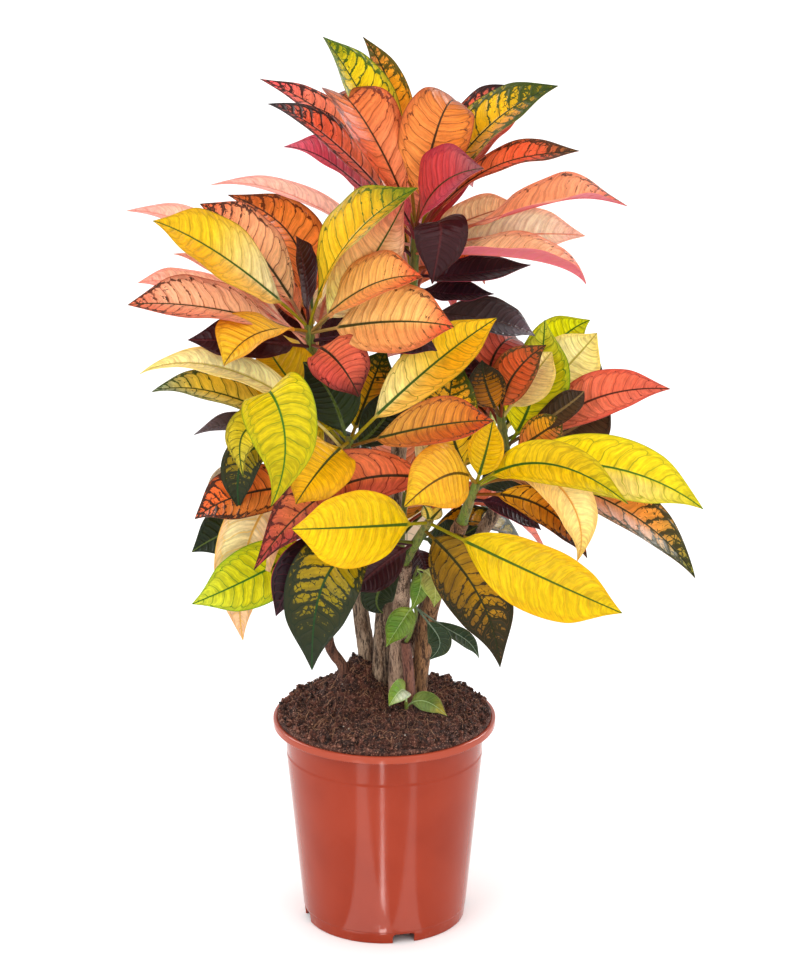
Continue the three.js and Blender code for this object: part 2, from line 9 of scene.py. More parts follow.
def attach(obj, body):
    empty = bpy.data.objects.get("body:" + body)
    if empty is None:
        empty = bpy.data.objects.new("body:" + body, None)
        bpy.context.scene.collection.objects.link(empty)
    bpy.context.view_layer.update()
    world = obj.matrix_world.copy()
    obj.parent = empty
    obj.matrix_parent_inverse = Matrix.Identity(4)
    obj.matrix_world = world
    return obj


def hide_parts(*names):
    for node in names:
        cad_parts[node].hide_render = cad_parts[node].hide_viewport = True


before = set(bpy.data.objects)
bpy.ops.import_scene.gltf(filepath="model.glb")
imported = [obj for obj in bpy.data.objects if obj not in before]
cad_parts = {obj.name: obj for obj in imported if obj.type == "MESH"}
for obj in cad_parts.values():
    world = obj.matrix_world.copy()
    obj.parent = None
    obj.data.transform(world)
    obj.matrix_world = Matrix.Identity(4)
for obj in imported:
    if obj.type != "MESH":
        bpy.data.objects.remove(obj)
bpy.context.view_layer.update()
mm = 0.001  # lengths here are in millimetres, and turn into metres when a mesh is made

# The camera as fitted to the pot. A place on the plant is (column, row, depth): a pixel of the
# 810 x 978 picture, and millimetres behind the pot's axis.
photoView = {
    "pitch": 19, "range": 4000, "focal": 4120, "centre": (405, 489), "aim": (20.4, 0, 448), "longSide": 978,
    "sensor": 36, "clip": (0.1, 200),
}

pitch = math.radians(photoView["pitch"])
ahead = np.array([0, math.cos(pitch), -math.sin(pitch)])
upInView = np.array([0, math.sin(pitch), math.cos(pitch)])
eye = np.array(photoView["aim"]) - ahead * photoView["range"]
skyward = np.array([0.0, 0.0, 1.0])


def at(place):
    column, row, depth = place
    sight = ahead + upInView * ((photoView["centre"][1] - row) / photoView["focal"])
    sight = sight + np.array([(column - photoView["centre"][0]) / photoView["focal"], 0, 0])
    return eye + sight * ((depth - eye[1]) / sight[1])


def unit(vectors):
    return vectors / np.linalg.norm(vectors, axis=-1, keepdims=True)


def smooth(low, high, values):
    share = np.clip((values - low) / (high - low), 0, 1)
    return share * share * (3 - 2 * share)


def mix(a, b, share):
    return a + (b - a) * share


def tint(text):  # "e8c316" as the linear colour that Blender mixes in
    values = np.array([int(text[i:i + 2], 16) / 255 for i in (0, 2, 4)])
    return np.where(values <= 0.04045, values / 12.92, ((values + 0.055) / 1.055) ** 2.4)


def colour(text):
    return (*tint(text), 1.0)


def circle(radius, count, z=0.0):
    turns = np.arange(count) * 2 * math.pi / count
    return np.stack([radius * np.cos(turns), radius * np.sin(turns), np.full(count, z)], 1)


def through(points, shares):  # the single polynomial curve through all the points
    last = len(points) - 1
    spots = np.zeros((len(shares), 3))
    for i, point in enumerate(points):
        weight = np.ones(len(shares))
        for j in range(last + 1):
            if j != i:
                weight = weight * (shares * last - j) / (i - j)
        spots += weight[:, None] * point
    return spots


def easyCurve(points, shares):  # a Catmull-Rom curve, as three.js draws it
    points = [np.array(p, float) for p in points]
    points = [2 * points[0] - points[1], *points, 2 * points[-1] - points[-2]]
    spots = []
    for share in shares:
        whole = min(share, 1 - 1e-9) * (len(points) - 3)
        i = int(whole)
        w = whole - i
        p0, p1, p2, p3 = points[i:i + 4]
        m1, m2 = 0.5 * (p2 - p0), 0.5 * (p3 - p1)
        spots.append((2 * w**3 - 3 * w**2 + 1) * p1 + (w**3 - 2 * w**2 + w) * m1
                     + (3 * w**2 - 2 * w**3) * p2 + (w**3 - w**2) * m2)
    return np.array(spots)


def directionsAlong(spots):
    return unit(np.vstack([spots[1:], spots[-1:]]) - np.vstack([spots[:1], spots[:-1]]))


def distancesAlong(spots):
    return np.concatenate([[0], np.cumsum(np.linalg.norm(np.diff(spots, axis=0), axis=1))])


# Everything of one mesh: points, faces, and what the material reads at each point
class Shell:
    def __init__(self):
        self.points, self.faces, self.slots, self.data, self.count = [], [], [], {}, 0

    def add(self, points, faces, slot=0, **data):
        points = np.asarray(points, float).reshape(-1, 3)
        self.points.append(points)
        self.faces += [[i + self.count for i in face] for face in faces]
        self.slots += [slot] * len(faces)
        for key, values in data.items():
            self.data.setdefault(key, []).append((self.count, np.asarray(values, float)))
        self.count += len(points)

    def piece(self, name, materials, sharp=40):
        mesh = bpy.data.meshes.new(name)
        mesh.from_pydata((np.vstack(self.points) * mm).tolist(), [], self.faces)
        mesh.polygons.foreach_set("material_index", self.slots)
        for key, parts in self.data.items():
            wide = parts[0][1].shape[-1]
            whole = np.ones((self.count, wide))
            for first, values in parts:
                whole[first:first + len(values)] = values
            kind, field = ("FLOAT_COLOR", "color") if wide == 4 else ("FLOAT_VECTOR", "vector")
            mesh.attributes.new(key, kind, "POINT").data.foreach_set(field, whole.ravel())
        mesh.shade_smooth()
        mesh.set_sharp_from_angle(angle=math.radians(sharp))
        made = bpy.data.objects.new(name, mesh)
        bpy.context.scene.collection.objects.link(made)
        for material in materials:
            mesh.materials.append(material)
        print("made", name, len(self.faces), "faces")
        return made


def gridFaces(rings, count, caps=True):  # faces of a loft over rings of as many points
    faces = []
    for k in range(rings - 1):
        for j in range(count):
            a, b = k * count + j, k * count + (j + 1) % count
            faces.append([a, b, b + count, a + count])
    if caps:
        end = (rings - 1) * count
        faces += [list(range(count))[::-1], list(range(end, end + count))]
    return faces


def settle(made, slot, *nodes):
    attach(made, "root")
    if nodes:
        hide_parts(*nodes)


# A number or a colour in a node tree. Reckoning with values reads as plain arithmetic, and adds nodes.
class Value:
    def __init__(self, tree, socket):
        self.tree, self.socket = tree, socket

    def reckon(self, operation, *others):
        return put(self.tree, "Math", dict(enumerate((self, *others))), operation=operation)

    def __add__(self, other):
        return self.reckon("ADD", other)

    def __sub__(self, other):
        return self.reckon("SUBTRACT", other)

    def __rsub__(self, other):
        return put(self.tree, "Math", {0: other, 1: self}, operation="SUBTRACT")

    def __mul__(self, other):
        return self.reckon("MULTIPLY", other)

    def __truediv__(self, other):
        return self.reckon("DIVIDE", other)

    def __abs__(self):
        return self.reckon("ABSOLUTE")

    def clamped(self):
        self.socket.node.use_clamp = True
        return self

    def ramp(self, low, high, least=0.0, most=1.0):
        ends = {"Value": self, "From Min": low, "From Max": high, "To Min": least, "To Max": most}
        return put(self.tree, "MapRange", ends, interpolation_type="SMOOTHSTEP")

    def blend(self, first, second):  # the first colour where this value is 0, the second where it is 1
        inputs = {"Factor": self, 6: first, 7: second}
        return put(self.tree, "Mix", inputs, give=2, data_type="RGBA", clamp_factor=True)


# Small makers of shader nodes

def feed(tree, socket, value):  # links a value to a socket, or sets the socket to a constant
    if isinstance(value, Value):
        tree.links.new(value.socket, socket)
    else:
        socket.default_value = value


def put(tree, kind, inputs=None, give=0, **settings):  # a new node, as the value that it gives
    node = tree.nodes.new("ShaderNode" + kind)
    for key, value in settings.items():
        setattr(node, key, value)
    for key, value in (inputs or {}).items():
        feed(tree, node.inputs[key], value)
    return Value(tree, node.outputs[give])


def split(vector):
    node = put(vector.tree, "SeparateXYZ", {0: vector}).socket.node
    return [Value(vector.tree, socket) for socket in node.outputs]


def cloudy(vector, scale, detail, roughness=0.5, give=0):
    inputs = {"Vector": vector, "Scale": scale, "Detail": detail, "Roughness": roughness}
    return put(vector.tree, "TexNoise", inputs, give)


def newGroup(name, takes, gives):
    group = bpy.data.node_groups.new(name, "ShaderNodeTree")
    for way, sockets in (("INPUT", takes), ("OUTPUT", gives)):
        for label, kind, *value in sockets:
            socket = group.interface.new_socket(label, in_out=way, socket_type="NodeSocket" + kind)
            if value:
                socket.default_value = value[0]
    given = group.nodes.new("NodeGroupInput").outputs
    return group, {socket.name: Value(group, socket) for socket in given}


def closeGroup(group, results):
    out = group.nodes.new("NodeGroupOutput").inputs
    for label, value in results.items():
        feed(group, out[label], value)
    return group


def useGroup(tree, group, inputs):
    node = tree.nodes.new("ShaderNodeGroup")
    node.node_tree = group
    for key, value in inputs.items():
        feed(tree, node.inputs[key], value)
    return {socket.name: Value(tree, socket) for socket in node.outputs}


def newMaterial(name, constants=None):
    material = bpy.data.materials.new(name)
    material.use_nodes = True
    for label, value in (constants or {}).items():
        material.node_tree.nodes["Principled BSDF"].inputs[label].default_value = value
    return material, material.node_tree


def dress(tree, base, rough, height, strength, depth):  # a surface's colour, roughness and bump in mm
    normal = put(tree, "Bump", {"Strength": strength, "Distance": depth * mm, "Height": height})
    for label, value in (("Base Color", base), ("Roughness", rough), ("Normal", normal)):
        feed(tree, tree.nodes["Principled BSDF"].inputs[label], value)


# Uneven tone: soft patches and fine grain, stretched along the object's height where asked
def unevenToneGroup():
    takes = [("Vector", "Vector"), ("Patch Scale", "Float", 40.0), ("Grain Scale", "Float", 900.0),
             ("Stretch", "Float", 1.0)]
    group, given = newGroup("uneven tone", takes, [("Patches", "Float"), ("Grain", "Float")])
    stretch = put(group, "CombineXYZ", {0: 1.0, 1: 1.0, 2: given["Stretch"]})
    vector = put(group, "VectorMath", {0: given["Vector"], 1: stretch}, operation="MULTIPLY")
    patches = cloudy(vector, given["Patch Scale"], 3.0)
    grain = cloudy(vector, given["Grain Scale"], 2.0)
    return closeGroup(group, {"Patches": patches.ramp(0.3, 0.7), "Grain": grain.ramp(0.25, 0.75)})


# The net of a croton's leaf: its midrib, its arching side veins and the small cells between them.
# Place is (across, along, leaf) in millimetres, and Share is (across -1 to 1, along 0 to 1, underside).
veinForm = {
    "ribTaper": 0.72, "slant": 0.42, "hook": 0.07, "stagger": 0.43, "wander": 0.7, "wanderScale": 0.055,
    "loopsAt": 0.93, "loopDepth": 0.48, "loopWander": 0.16, "loopScale": 2.4,
    "cellWarp": 6.0, "warpScale": 0.12, "cloudScale": 0.2, "streaksAcross": 1.6, "streaksAlong": 5.0,
}


def leafNetGroup():
    takes = [("Place", "Vector"), ("Share", "Vector"), ("Length", "Float", 120.0),
             ("Vein Pairs", "Float", 11.0), ("Vein Width", "Float", 0.056),
             ("Rib Width", "Float", 1.5), ("Cell Size", "Float", 6.0)]
    gives = "Rib", "Veins", "Vein Gap", "Cell Gap", "Relief", "Clouds", "Streaks"
    group, given = newGroup("leaf net", takes, [(label, "Float") for label in gives])
    across, along, _ = split(given["Share"])
    fromRib, _, leaf = split(given["Place"])
    side, fromRib = abs(across), abs(fromRib)
    # the midrib narrows to the tip
    ribShare = fromRib / (given["Rib Width"] * (along * -veinForm["ribTaper"] + 1.0))
    rib = ribShare.ramp(0.55, 1.0, 1.0, 0.0) * along.ramp(0.0, 0.03)
    # side veins leave it at a slant, wander a little and hook towards the tip near the margin
    wander = cloudy(given["Place"], veinForm["wanderScale"], 2.0)
    sweep = fromRib * veinForm["slant"] / given["Length"] + side.reckon("POWER", 4.0) * veinForm["hook"]
    stagger = across.reckon("GREATER_THAN", 0.0) * veinForm["stagger"]
    phase = (along - sweep) * given["Vein Pairs"] + stagger + wander * veinForm["wander"]
    middle = abs(phase.reckon("FRACT") - 0.5)
    toVein = 0.5 - middle + side.ramp(0.8, 0.92, 0.0, 0.5)
    # and loops join their ends just inside the margin
    arch = middle * middle * -veinForm["loopDepth"] + veinForm["loopsAt"]
    toLoop = abs(wander * veinForm["loopWander"] + side - arch) * veinForm["loopScale"]
    gap = toVein.reckon("MINIMUM", toLoop) + along.ramp(0.0, 0.03, 0.5, 0.0)
    veins = (gap / (given["Vein Width"] * (side * -0.5 + 1.0))).ramp(0.45, 1.0, 1.0, 0.0)
    # the small cells
    shift = {0: cloudy(given["Place"], veinForm["warpScale"], 1.0, give=1), 2: given["Place"],
             1: (veinForm["cellWarp"], veinForm["cellWarp"], 0.0)}
    moved = put(group, "VectorMath", shift, operation="MULTIPLY_ADD")
    cellScale = put(group, "Math", {0: 1.0, 1: given["Cell Size"]}, operation="DIVIDE")
    cells = put(group, "TexVoronoi", {"Vector": moved, "Scale": cellScale}, feature="DISTANCE_TO_EDGE")
    cells = cells + along.ramp(0.0, 0.03, 0.5, 0.0)
    clouds = cloudy(moved, veinForm["cloudScale"], 4.0, 0.6)
    # fine streaks run beside the veins
    fine = {0: side * veinForm["streaksAcross"], 1: phase * veinForm["streaksAlong"], 2: leaf}
    streaks = cloudy(put(group, "CombineXYZ", fine), 1.0, 3.0, 0.6)
    # the surface swells between the veins and sinks along them
    relief = gap.ramp(0.0, 0.3) + cells.ramp(0.0, 0.12, -0.12, 0.0) - ribShare.ramp(0.6, 1.6, 1.4, 0.0)
    return closeGroup(group, dict(zip(gives, (rib, veins, gap, cells, relief, clouds, streaks))))


unevenTone = unevenToneGroup()
leafNet = leafNetGroup()
print("shared effects ready")


def placeIn(tree):  # the place on the object, in metres
    return put(tree, "TexCoord", give="Object")


def unevenly(place, patchScale, grainScale, stretch=1.0):
    inputs = {"Vector": place, "Patch Scale": patchScale, "Grain Scale": grainScale, "Stretch": stretch}
    return useGroup(place.tree, unevenTone, inputs).values()


# The pot
pot = {
    "height": 212, "rimRadius": 110, "rimRound": 1.8, "mouthRadius": 106, "lipHeight": 8, "neckRadius": 100,
    "footRadius": 80, "footRound": 1.5, "footHeight": 12, "footLine": 0.6, "footWall": 3.5,
    "middleRadius": 24, "middleSlope": 4, "wall": 2, "floor": 2.5, "stepBelowRim": 37, "stepDepth": 0.6,
    "stepSlope": 2.2, "notchWidth": 22, "notchHeight": 10, "notchRound": 4, "notchTurns": (14, 104, 194, 284),
    "notchReach": (40, 120), "notchBelow": 5, "drainRadius": 7, "drainRing": 48, "drainCount": 6,
    "drainReach": (6, 18), "drainSides": 24, "sides": 160,
    # the lip colour is a painted highlight: the whole rolled lip is painted lighter than the wall
    "colour": "922f10", "light": "9b3618", "worn": "a86a54", "lipHighlight": "a64830", "lipEdge": 2,
    "gloss": 0.12, "scuffs": 0.07, "dustHeight": 20, "dust": 0.5,
}


def wallRadius(z):
    return mix(pot["footRadius"], pot["neckRadius"], z / (pot["height"] - pot["lipHeight"]))


def bend(corner, before, after, radius, steps=4):  # a rounded corner of a profile
    corner, before, after = np.array(corner), np.array(before), np.array(after)
    start = corner + unit(before - corner) * radius
    end = corner + unit(after - corner) * radius
    shares = np.linspace(0, 1, steps + 1)
    return [tuple((1 - w) ** 2 * start + 2 * w * (1 - w) * corner + w * w * end) for w in shares]


def potProfile():  # half a section of the pot, from its middle underneath, over the rim, to the floor inside
    top, lipUnder = pot["height"], pot["height"] - pot["lipHeight"]
    step, floorTop = pot["height"] - pot["stepBelowRim"], pot["footHeight"] + pot["floor"]
    inside = pot["footRadius"] - pot["footWall"]
    slopeTop = pot["middleRadius"] + pot["middleSlope"]
    neckIn = pot["neckRadius"] - pot["stepDepth"] - pot["wall"]
    foot, line, depth, rim = pot["footHeight"], pot["footLine"], pot["stepDepth"], pot["rimRound"]
    corners = [  # radius, height, rounding
        (0, 0, 0), (pot["middleRadius"], 0, 1), (slopeTop, foot, 1), (inside, foot, 1), (inside, 0, 0.6),
        (wallRadius(0) - line, 0, pot["footRound"]), (wallRadius(foot) - line, foot, 0.3),
        (wallRadius(foot), foot + line, 0.4), (wallRadius(step), step, 0.5),
        (wallRadius(step) - depth, step + pot["stepSlope"], 0.9), (pot["neckRadius"] - depth, lipUnder, 0.8),
        (pot["rimRadius"], lipUnder, rim), (pot["rimRadius"], top, rim), (pot["mouthRadius"], top, rim),
        (neckIn, lipUnder, 1), (wallRadius(floorTop) - pot["wall"], floorTop, 1.5),
        (slopeTop - pot["wall"], floorTop, 1), (pot["middleRadius"] - pot["wall"], pot["floor"], 1),
        (0, pot["floor"], 0)]
    profile = [corners[0][:2]]
    for before, corner, after in zip(corners, corners[1:], corners[2:]):
        profile += bend(corner[:2], before[:2], after[:2], corner[2])
    return profile + [corners[-1][:2]]


def potMaterial():
    material, tree = newMaterial("terracotta plastic", {"IOR": 1.5, "Specular IOR Level": 0.35})
    place = placeIn(tree)
    patches, grain = unevenly(place, 14.0, 700.0)
    height = split(place)[2]
    lipUnder = (pot["height"] - pot["lipHeight"]) * mm
    base = patches.blend(colour(pot["colour"]), colour(pot["light"]))
    # painted highlight: the rolled lip, from just above its underside, is painted a lighter colour
    base = height.ramp(lipUnder, lipUnder + pot["lipEdge"] * mm).blend(base, colour(pot["lipHighlight"]))
    # dry compost dust clings to the foot
    nearFoot = height.ramp(pot["dustHeight"] * mm, 0.0, 0.0, pot["dust"])
    dusty = cloudy(place, 60.0, 6.0, 0.7).ramp(0.52, 0.75) * nearFoot
    base = dusty.blend(base, colour(pot["worn"]))
    scuffs = cloudy(place, 220.0, 4.0).ramp(0.5, 0.75)
    dress(tree, base, patches * 0.03 + (scuffs * pot["scuffs"] + pot["gloss"]), grain, 0.15, 0.1)
    return material


def potCutters():  # what the notches in the foot and the drainage holes take away
    cutters = Shell()
    half, top = pot["notchWidth"] / 2, pot["notchHeight"]
    low, rounding = -pot["notchBelow"], pot["notchRound"]
    arch = [(-half, low), (half, low), *bend((half, top), (half, 0), (0, top), rounding),
            *bend((-half, top), (0, top), (-half, 0), rounding)]
    for turn in pot["notchTurns"]:
        a = math.radians(turn) - math.pi / 2
        out, across = np.array([math.cos(a), math.sin(a), 0]), np.array([-math.sin(a), math.cos(a), 0])
        corners = [out * r + across * x + skyward * z for r in pot["notchReach"] for x, z in arch]
        cutters.add(corners, gridFaces(2, len(arch)))
    for middle in circle(pot["drainRing"], pot["drainCount"]):
        rings = [middle + circle(pot["drainRadius"], pot["drainSides"], z) for z in pot["drainReach"]]
        cutters.add(rings, gridFaces(2, pot["drainSides"]))
    return cutters.piece("pot_cutters", [])


def makePot():
    rings = [circle(r, pot["sides"], z) for r, z in potProfile()[1:-1]]
    count = pot["sides"]
    faces = gridFaces(len(rings), count, caps=False)
    low, high = len(rings) * count, len(rings) * count + 1
    faces += [[low, (j + 1) % count, j] for j in range(count)]
    faces += [[high, low - count + j, low - count + (j + 1) % count] for j in range(count)]
    shell = Shell()
    shell.add(np.vstack([*rings, [(0, 0, 0), (0, 0, pot["floor"])]]), faces)
    made, tool = shell.piece("pot_body", [potMaterial()], sharp=50), potCutters()
    cut = made.modifiers.new("notches and drains", "BOOLEAN")
    cut.object, cut.operation, cut.solver = tool, "DIFFERENCE", "EXACT"
    bpy.context.view_layer.update()
    done = bpy.data.meshes.new_from_object(made.evaluated_get(bpy.context.evaluated_depsgraph_get()))
    made.modifiers.clear()
    made.data = done
    bpy.data.objects.remove(tool)
    return made


settle(makePot(), "pot_plastic", "pot")
print("pot done")

# The compost: a heaped, crumbly surface with loose crumbs, root fibres and a little perlite
compost = {
    "edgeLevel": 215, "heap": 15, "heapFlatness": 6,
    "mounds": ((-24, 12, 40, 22), (26, -4, 6, 22)),  # x, y, height, reach
    "clearance": 0.4, "rings": 84, "sides": 200, "roughness": 3.0, "edgeCalm": 0.25, "wallTop": 1,
    "crumbs": 5500, "crumbSize": (1.0, 5.4), "mostlySmall": 5, "roundFrom": 2.9, "bigFrom": 3,
    "rimCrumbs": 220, "rimCrumbSize": (3, 8), "rimBand": (1.5, 9), "perlite": 50, "perliteSize": (0.9, 2.0),
    "fibres": 750, "fibreLength": (5, 18), "fibreRadius": (0.18, 0.5), "fibreCurl": 0.3,
    "fibreArch": (0.6, 2.6), "fibreSteps": 7, "fibreSides": 5, "paleShare": 0.6,
    # the heap under the crumbs is painted dark: painted shade for the gaps between the crumbs
    "heapShadeTone": 0.3, "crumbTone": (0.1, 1.0), "bigTone": 0.75, "dampTone": 0.2,
    "dark": "2e1a14", "brown": "7c4a3a", "light": "c8947a", "perliteColours": ("d8cfc4", "a89a8a"),
    "fibreColours": ("a87e60", "7a5038"), "darkFibreColours": ("3c261e", "583a2c"),
}


def soilLevel(x, y):
    edge = pot["mouthRadius"] - compost["clearance"]
    share = np.hypot(x, y) / edge
    level = compost["edgeLevel"] + compost["heap"] * (1 - share ** compost["heapFlatness"])
    for mx, my, height, reach in compost["mounds"]:
        level = level + height * np.exp(-(np.hypot(x - mx, y - my) / reach) ** 2 / 2)
    return level


def damp(x, y):  # the mounds round the stems are the darkest
    return max(math.exp(-(math.hypot(x - mx, y - my) / reach) ** 2 / 2)
               for mx, my, height, reach in compost["mounds"])


def crumbly(x, y):  # the lumps of the compost, in millimetres
    spot = Vector((x, y, 0))
    coarse = noise.turbulence(spot * 0.11, 3, False)
    fine = noise.turbulence(spot * 0.42 + Vector((7, 3, 1)), 2, False)
    return compost["roughness"] * (1.5 * coarse + 0.8 * fine - 0.9)


def compostMaterial():
    material, tree = newMaterial("compost")
    place = placeIn(tree)
    patches, grain = unevenly(place, 160.0, 1500.0)
    dark, brown, light = (colour(compost[key]) for key in ("dark", "brown", "light"))
    own = split(put(tree, "Attribute", give="Vector", attribute_name="tone"))[0]
    own = own + patches.ramp(0.0, 1.0, -0.14, 0.14)
    base = own.ramp(0.0, 0.6).blend(dark, brown)
    base = own.ramp(0.6, 1.1).blend(base, light)
    specks = cloudy(place, 620.0, 3.0)
    base = specks.ramp(0.57, 0.66, 0.0, 0.7).blend(base, light)
    base = specks.ramp(0.45, 0.34, 0.0, 0.75).blend(base, dark)
    lumps = put(tree, "TexVoronoi", {"Vector": place, "Scale": 420.0})
    dress(tree, base, specks.ramp(0.3, 0.7, 0.95, 0.75), lumps * 0.8 + grain, 0.8, 1.2)
    return material


def plainMaterial(name, colours, scale, rough):
    material, tree = newMaterial(name)
    patches, grain = unevenly(placeIn(tree), scale, scale * 6)
    dress(tree, patches.blend(*map(colour, colours)), rough, grain, 0.5, 0.3)
    return material


def ballOf(steps):  # a round lump's points and faces, to be squeezed out of shape
    form = bmesh.new()
    bmesh.ops.create_icosphere(form, subdivisions=steps, radius=1)
    points = np.array([v.co[:] for v in form.verts])
    faces = [[v.index for v in f.verts] for f in form.faces]
    form.free()
    return points, faces


def addLump(shell, draw, balls, x, y, size, slot=0, lift=0, sunk=0.3):
    ball, ballFaces = balls[size > compost["roundFrom"]]
    squeeze = draw.uniform(0.5, 1.0, 3) * size / 2
    shift = Vector(draw.uniform(0, 100, 3))
    bumps = np.array([noise.noise(Vector(p) * 1.6 + shift) for p in ball])
    points = ball * (1 + 0.8 * bumps[:, None]) * squeeze
    turn = draw.uniform(0, 2 * math.pi)
    c, s = math.cos(turn), math.sin(turn)
    points = points @ np.array([[c, s, 0], [-s, c, 0], [0, 0, 1]])
    level = float(soilLevel(x, y)) + crumbly(x, y) + squeeze[2] * (1 - sunk) + lift
    bright = compost["bigTone"] if size > compost["bigFrom"] else 1
    tone = mix(*compost["crumbTone"], draw.uniform() ** 1.6) * bright - compost["dampTone"] * damp(x, y)
    shell.add(points + (x, y, level), ballFaces, slot, tone=np.full((len(points), 3), tone))


def addFibre(shell, draw, x, y, edge):
    heading, length = draw.uniform(0, 2 * math.pi), draw.uniform(*compost["fibreLength"])
    curl, radius = draw.uniform(-1, 1) * compost["fibreCurl"], draw.uniform(*compost["fibreRadius"])
    lift, slot = draw.uniform(*compost["fibreArch"]), 0 if draw.uniform() < compost["paleShare"] else 1
    spots = []
    for w in np.arange(compost["fibreSteps"]) / (compost["fibreSteps"] - 1):
        px = x + length * (w - 0.5) * math.cos(heading + curl * w)
        py = y + length * (w - 0.5) * math.sin(heading + curl * w)
        if math.hypot(px, py) > edge - 2:
            break
        level = float(soilLevel(px, py)) + crumbly(px, py) + radius + lift * math.sin(math.pi * w)
        spots.append((px, py, level))
    if len(spots) > 3:
        addTube(shell, spots, (radius, radius * 0.6), len(spots), compost["fibreSides"], slot)


def makeGround(edge):
    gap, count = compost["clearance"], compost["sides"]
    floor = pot["footHeight"] + pot["floor"] + gap
    middle = pot["middleRadius"] - pot["wall"] - gap
    neckIn = pot["neckRadius"] - pot["stepDepth"] - pot["wall"] - gap
    rings = [circle(radius, count, z) for radius, z in (
        (middle, pot["floor"] + gap), (middle + pot["middleSlope"], floor),
        (wallRadius(floor) - pot["wall"] - gap, floor), (neckIn, pot["height"] - pot["lipHeight"]),
        (edge, pot["height"] - compost["wallTop"]))]
    for share in 1 - np.arange(compost["rings"]) / compost["rings"]:
        ring = circle(edge * share, count)
        x, y = ring[:, 0], ring[:, 1]
        lumps = np.array([crumbly(a, b) for a, b in zip(x, y)])
        ring[:, 2] = soilLevel(x, y) + lumps * min(1, (1 - share) * 14 + compost["edgeCalm"])
        rings.append(ring)
    shell = Shell()
    # painted shade: the whole heap takes a dark tone, which shows in the gaps between the crumbs
    tone = np.full((len(rings) * count, 3), compost["heapShadeTone"])
    shell.add(np.array(rings), gridFaces(len(rings), count), tone=tone)
    settle(shell.piece("compost_heap", [compostMaterial()], sharp=80), "compost", "soil")


def makeLoose(edge):
    draw = np.random.RandomState(11)
    balls = ballOf(1), ballOf(2)
    loose, strands = Shell(), Shell()

    def scatter(reach):
        radius, turn = reach * math.sqrt(draw.uniform()), draw.uniform(0, 2 * math.pi)
        return radius * math.cos(turn), radius * math.sin(turn)

    for i in range(compost["crumbs"]):
        x, y = scatter(edge - 1.5)
        size = mix(*compost["crumbSize"], draw.uniform() ** compost["mostlySmall"])
        addLump(loose, draw, balls, x, y, size)
    for i in range(compost["rimCrumbs"]):  # clods heaped along the edge
        turn, reach = draw.uniform(0, 2 * math.pi), edge - draw.uniform(*compost["rimBand"])
        x, y = reach * math.cos(turn), reach * math.sin(turn)
        addLump(loose, draw, balls, x, y, draw.uniform(*compost["rimCrumbSize"]), sunk=0.5)
    for i in range(compost["perlite"]):
        x, y = scatter(edge - 6)
        addLump(loose, draw, balls, x, y, draw.uniform(*compost["perliteSize"]), slot=1, lift=0.1)
    for i in range(compost["fibres"]):
        addFibre(strands, draw, *scatter(edge - 12), edge)
    perlite = plainMaterial("perlite", compost["perliteColours"], 900.0, 0.9)
    settle(loose.piece("compost_crumbs", [compostMaterial(), perlite], sharp=60), "compost")
    fibre = plainMaterial("root fibre", compost["fibreColours"], 300.0, 0.7)
    darkFibre = plainMaterial("dark root fibre", compost["darkFibreColours"], 300.0, 0.7)
    settle(strands.piece("compost_fibres", [fibre, darkFibre], sharp=60), "compost")


def addTube(shell, points, radii, rings, sides, slot=0, last=None, relief=None):
    spots = easyCurve(points, np.linspace(0, 1, rings))
    along, gone = directionsAlong(spots), distancesAlong(spots)
    if last is not None:
        along[-1] = last
    side, made = np.array([1.0, 0.0, 0.0]), []
    for i, spot in enumerate(spots):
        side = unit(side - along[i] * (side @ along[i]))
        other = np.cross(along[i], side)
        radius = mix(*radii, i / (rings - 1))
        for turn in np.arange(sides) / sides * 2 * math.pi:
            reach = radius if relief is None else relief(radius, turn, gone[i])
            made.append(spot + reach * (side * math.cos(turn) + other * math.sin(turn)))
    shell.add(made, gridFaces(rings, sides), slot)


mouth = pot["mouthRadius"] - compost["clearance"]
makeGround(mouth)
makeLoose(mouth)
print("compost done")

# Woody stems, the stub and the shoots' own wood. A route starts at the soil; radii run from foot to top.
stems = {
    "top": {
        "route": [(380.5, 668, 2), (384, 610, 6), (394, 500, 18), (404, 400, 24)],
        "foot": (410, 335, 20), "growth": (416, 226, 10), "radii": (8, 6.5), "bark": "grey",
    },
    "upper_left": {
        "route": [(367, 660, 16), (360, 605, 16), (350, 500, 6), (330, 430, -6)],
        "foot": (318, 385, -12), "growth": (308, 324, -20), "radii": (8, 6), "bark": "grey",
    },
    "left": {
        "route": [(344, 672, 4), (330, 646, 0), (322, 600, -20)],
        "foot": (326, 550, -40), "growth": (350, 438, -60), "radii": (4.6, 4.6), "bark": "thin",
    },
    "rear_right": {
        "route": [(400, 672, 26), (440, 580, 20), (490, 520, 10)],
        "foot": (509, 475, 2), "growth": (500, 412, 0), "radii": (7, 6), "bark": "grey",
    },
    "right": {
        "route": [(418, 691, 0), (428, 620, -8), (446, 560, -36)],
        "foot": (462, 522, -56), "growth": (477, 482, -70), "radii": (8.6, 6.5), "bark": "warm",
    },
    "low_middle": {
        "route": [(397, 682, -8), (400, 620, -14)],
        "foot": (404, 562, -36), "growth": (430, 520, -60), "radii": (8.2, 7.5), "bark": "pale",
    },
    "rear": {
        "route": [(392, 668, 52), (394, 605, 58)],
        "foot": (398, 566, 66), "growth": (404, 492, 76), "radii": (7.5, 6.5), "bark": "grey",
    },
}
stub = {
    "base": (410, 692, -24), "top": (406, 642, -23), "buried": 45, "radii": (5.4, 4.8),
    "rings": 60, "strength": 0.6,
}
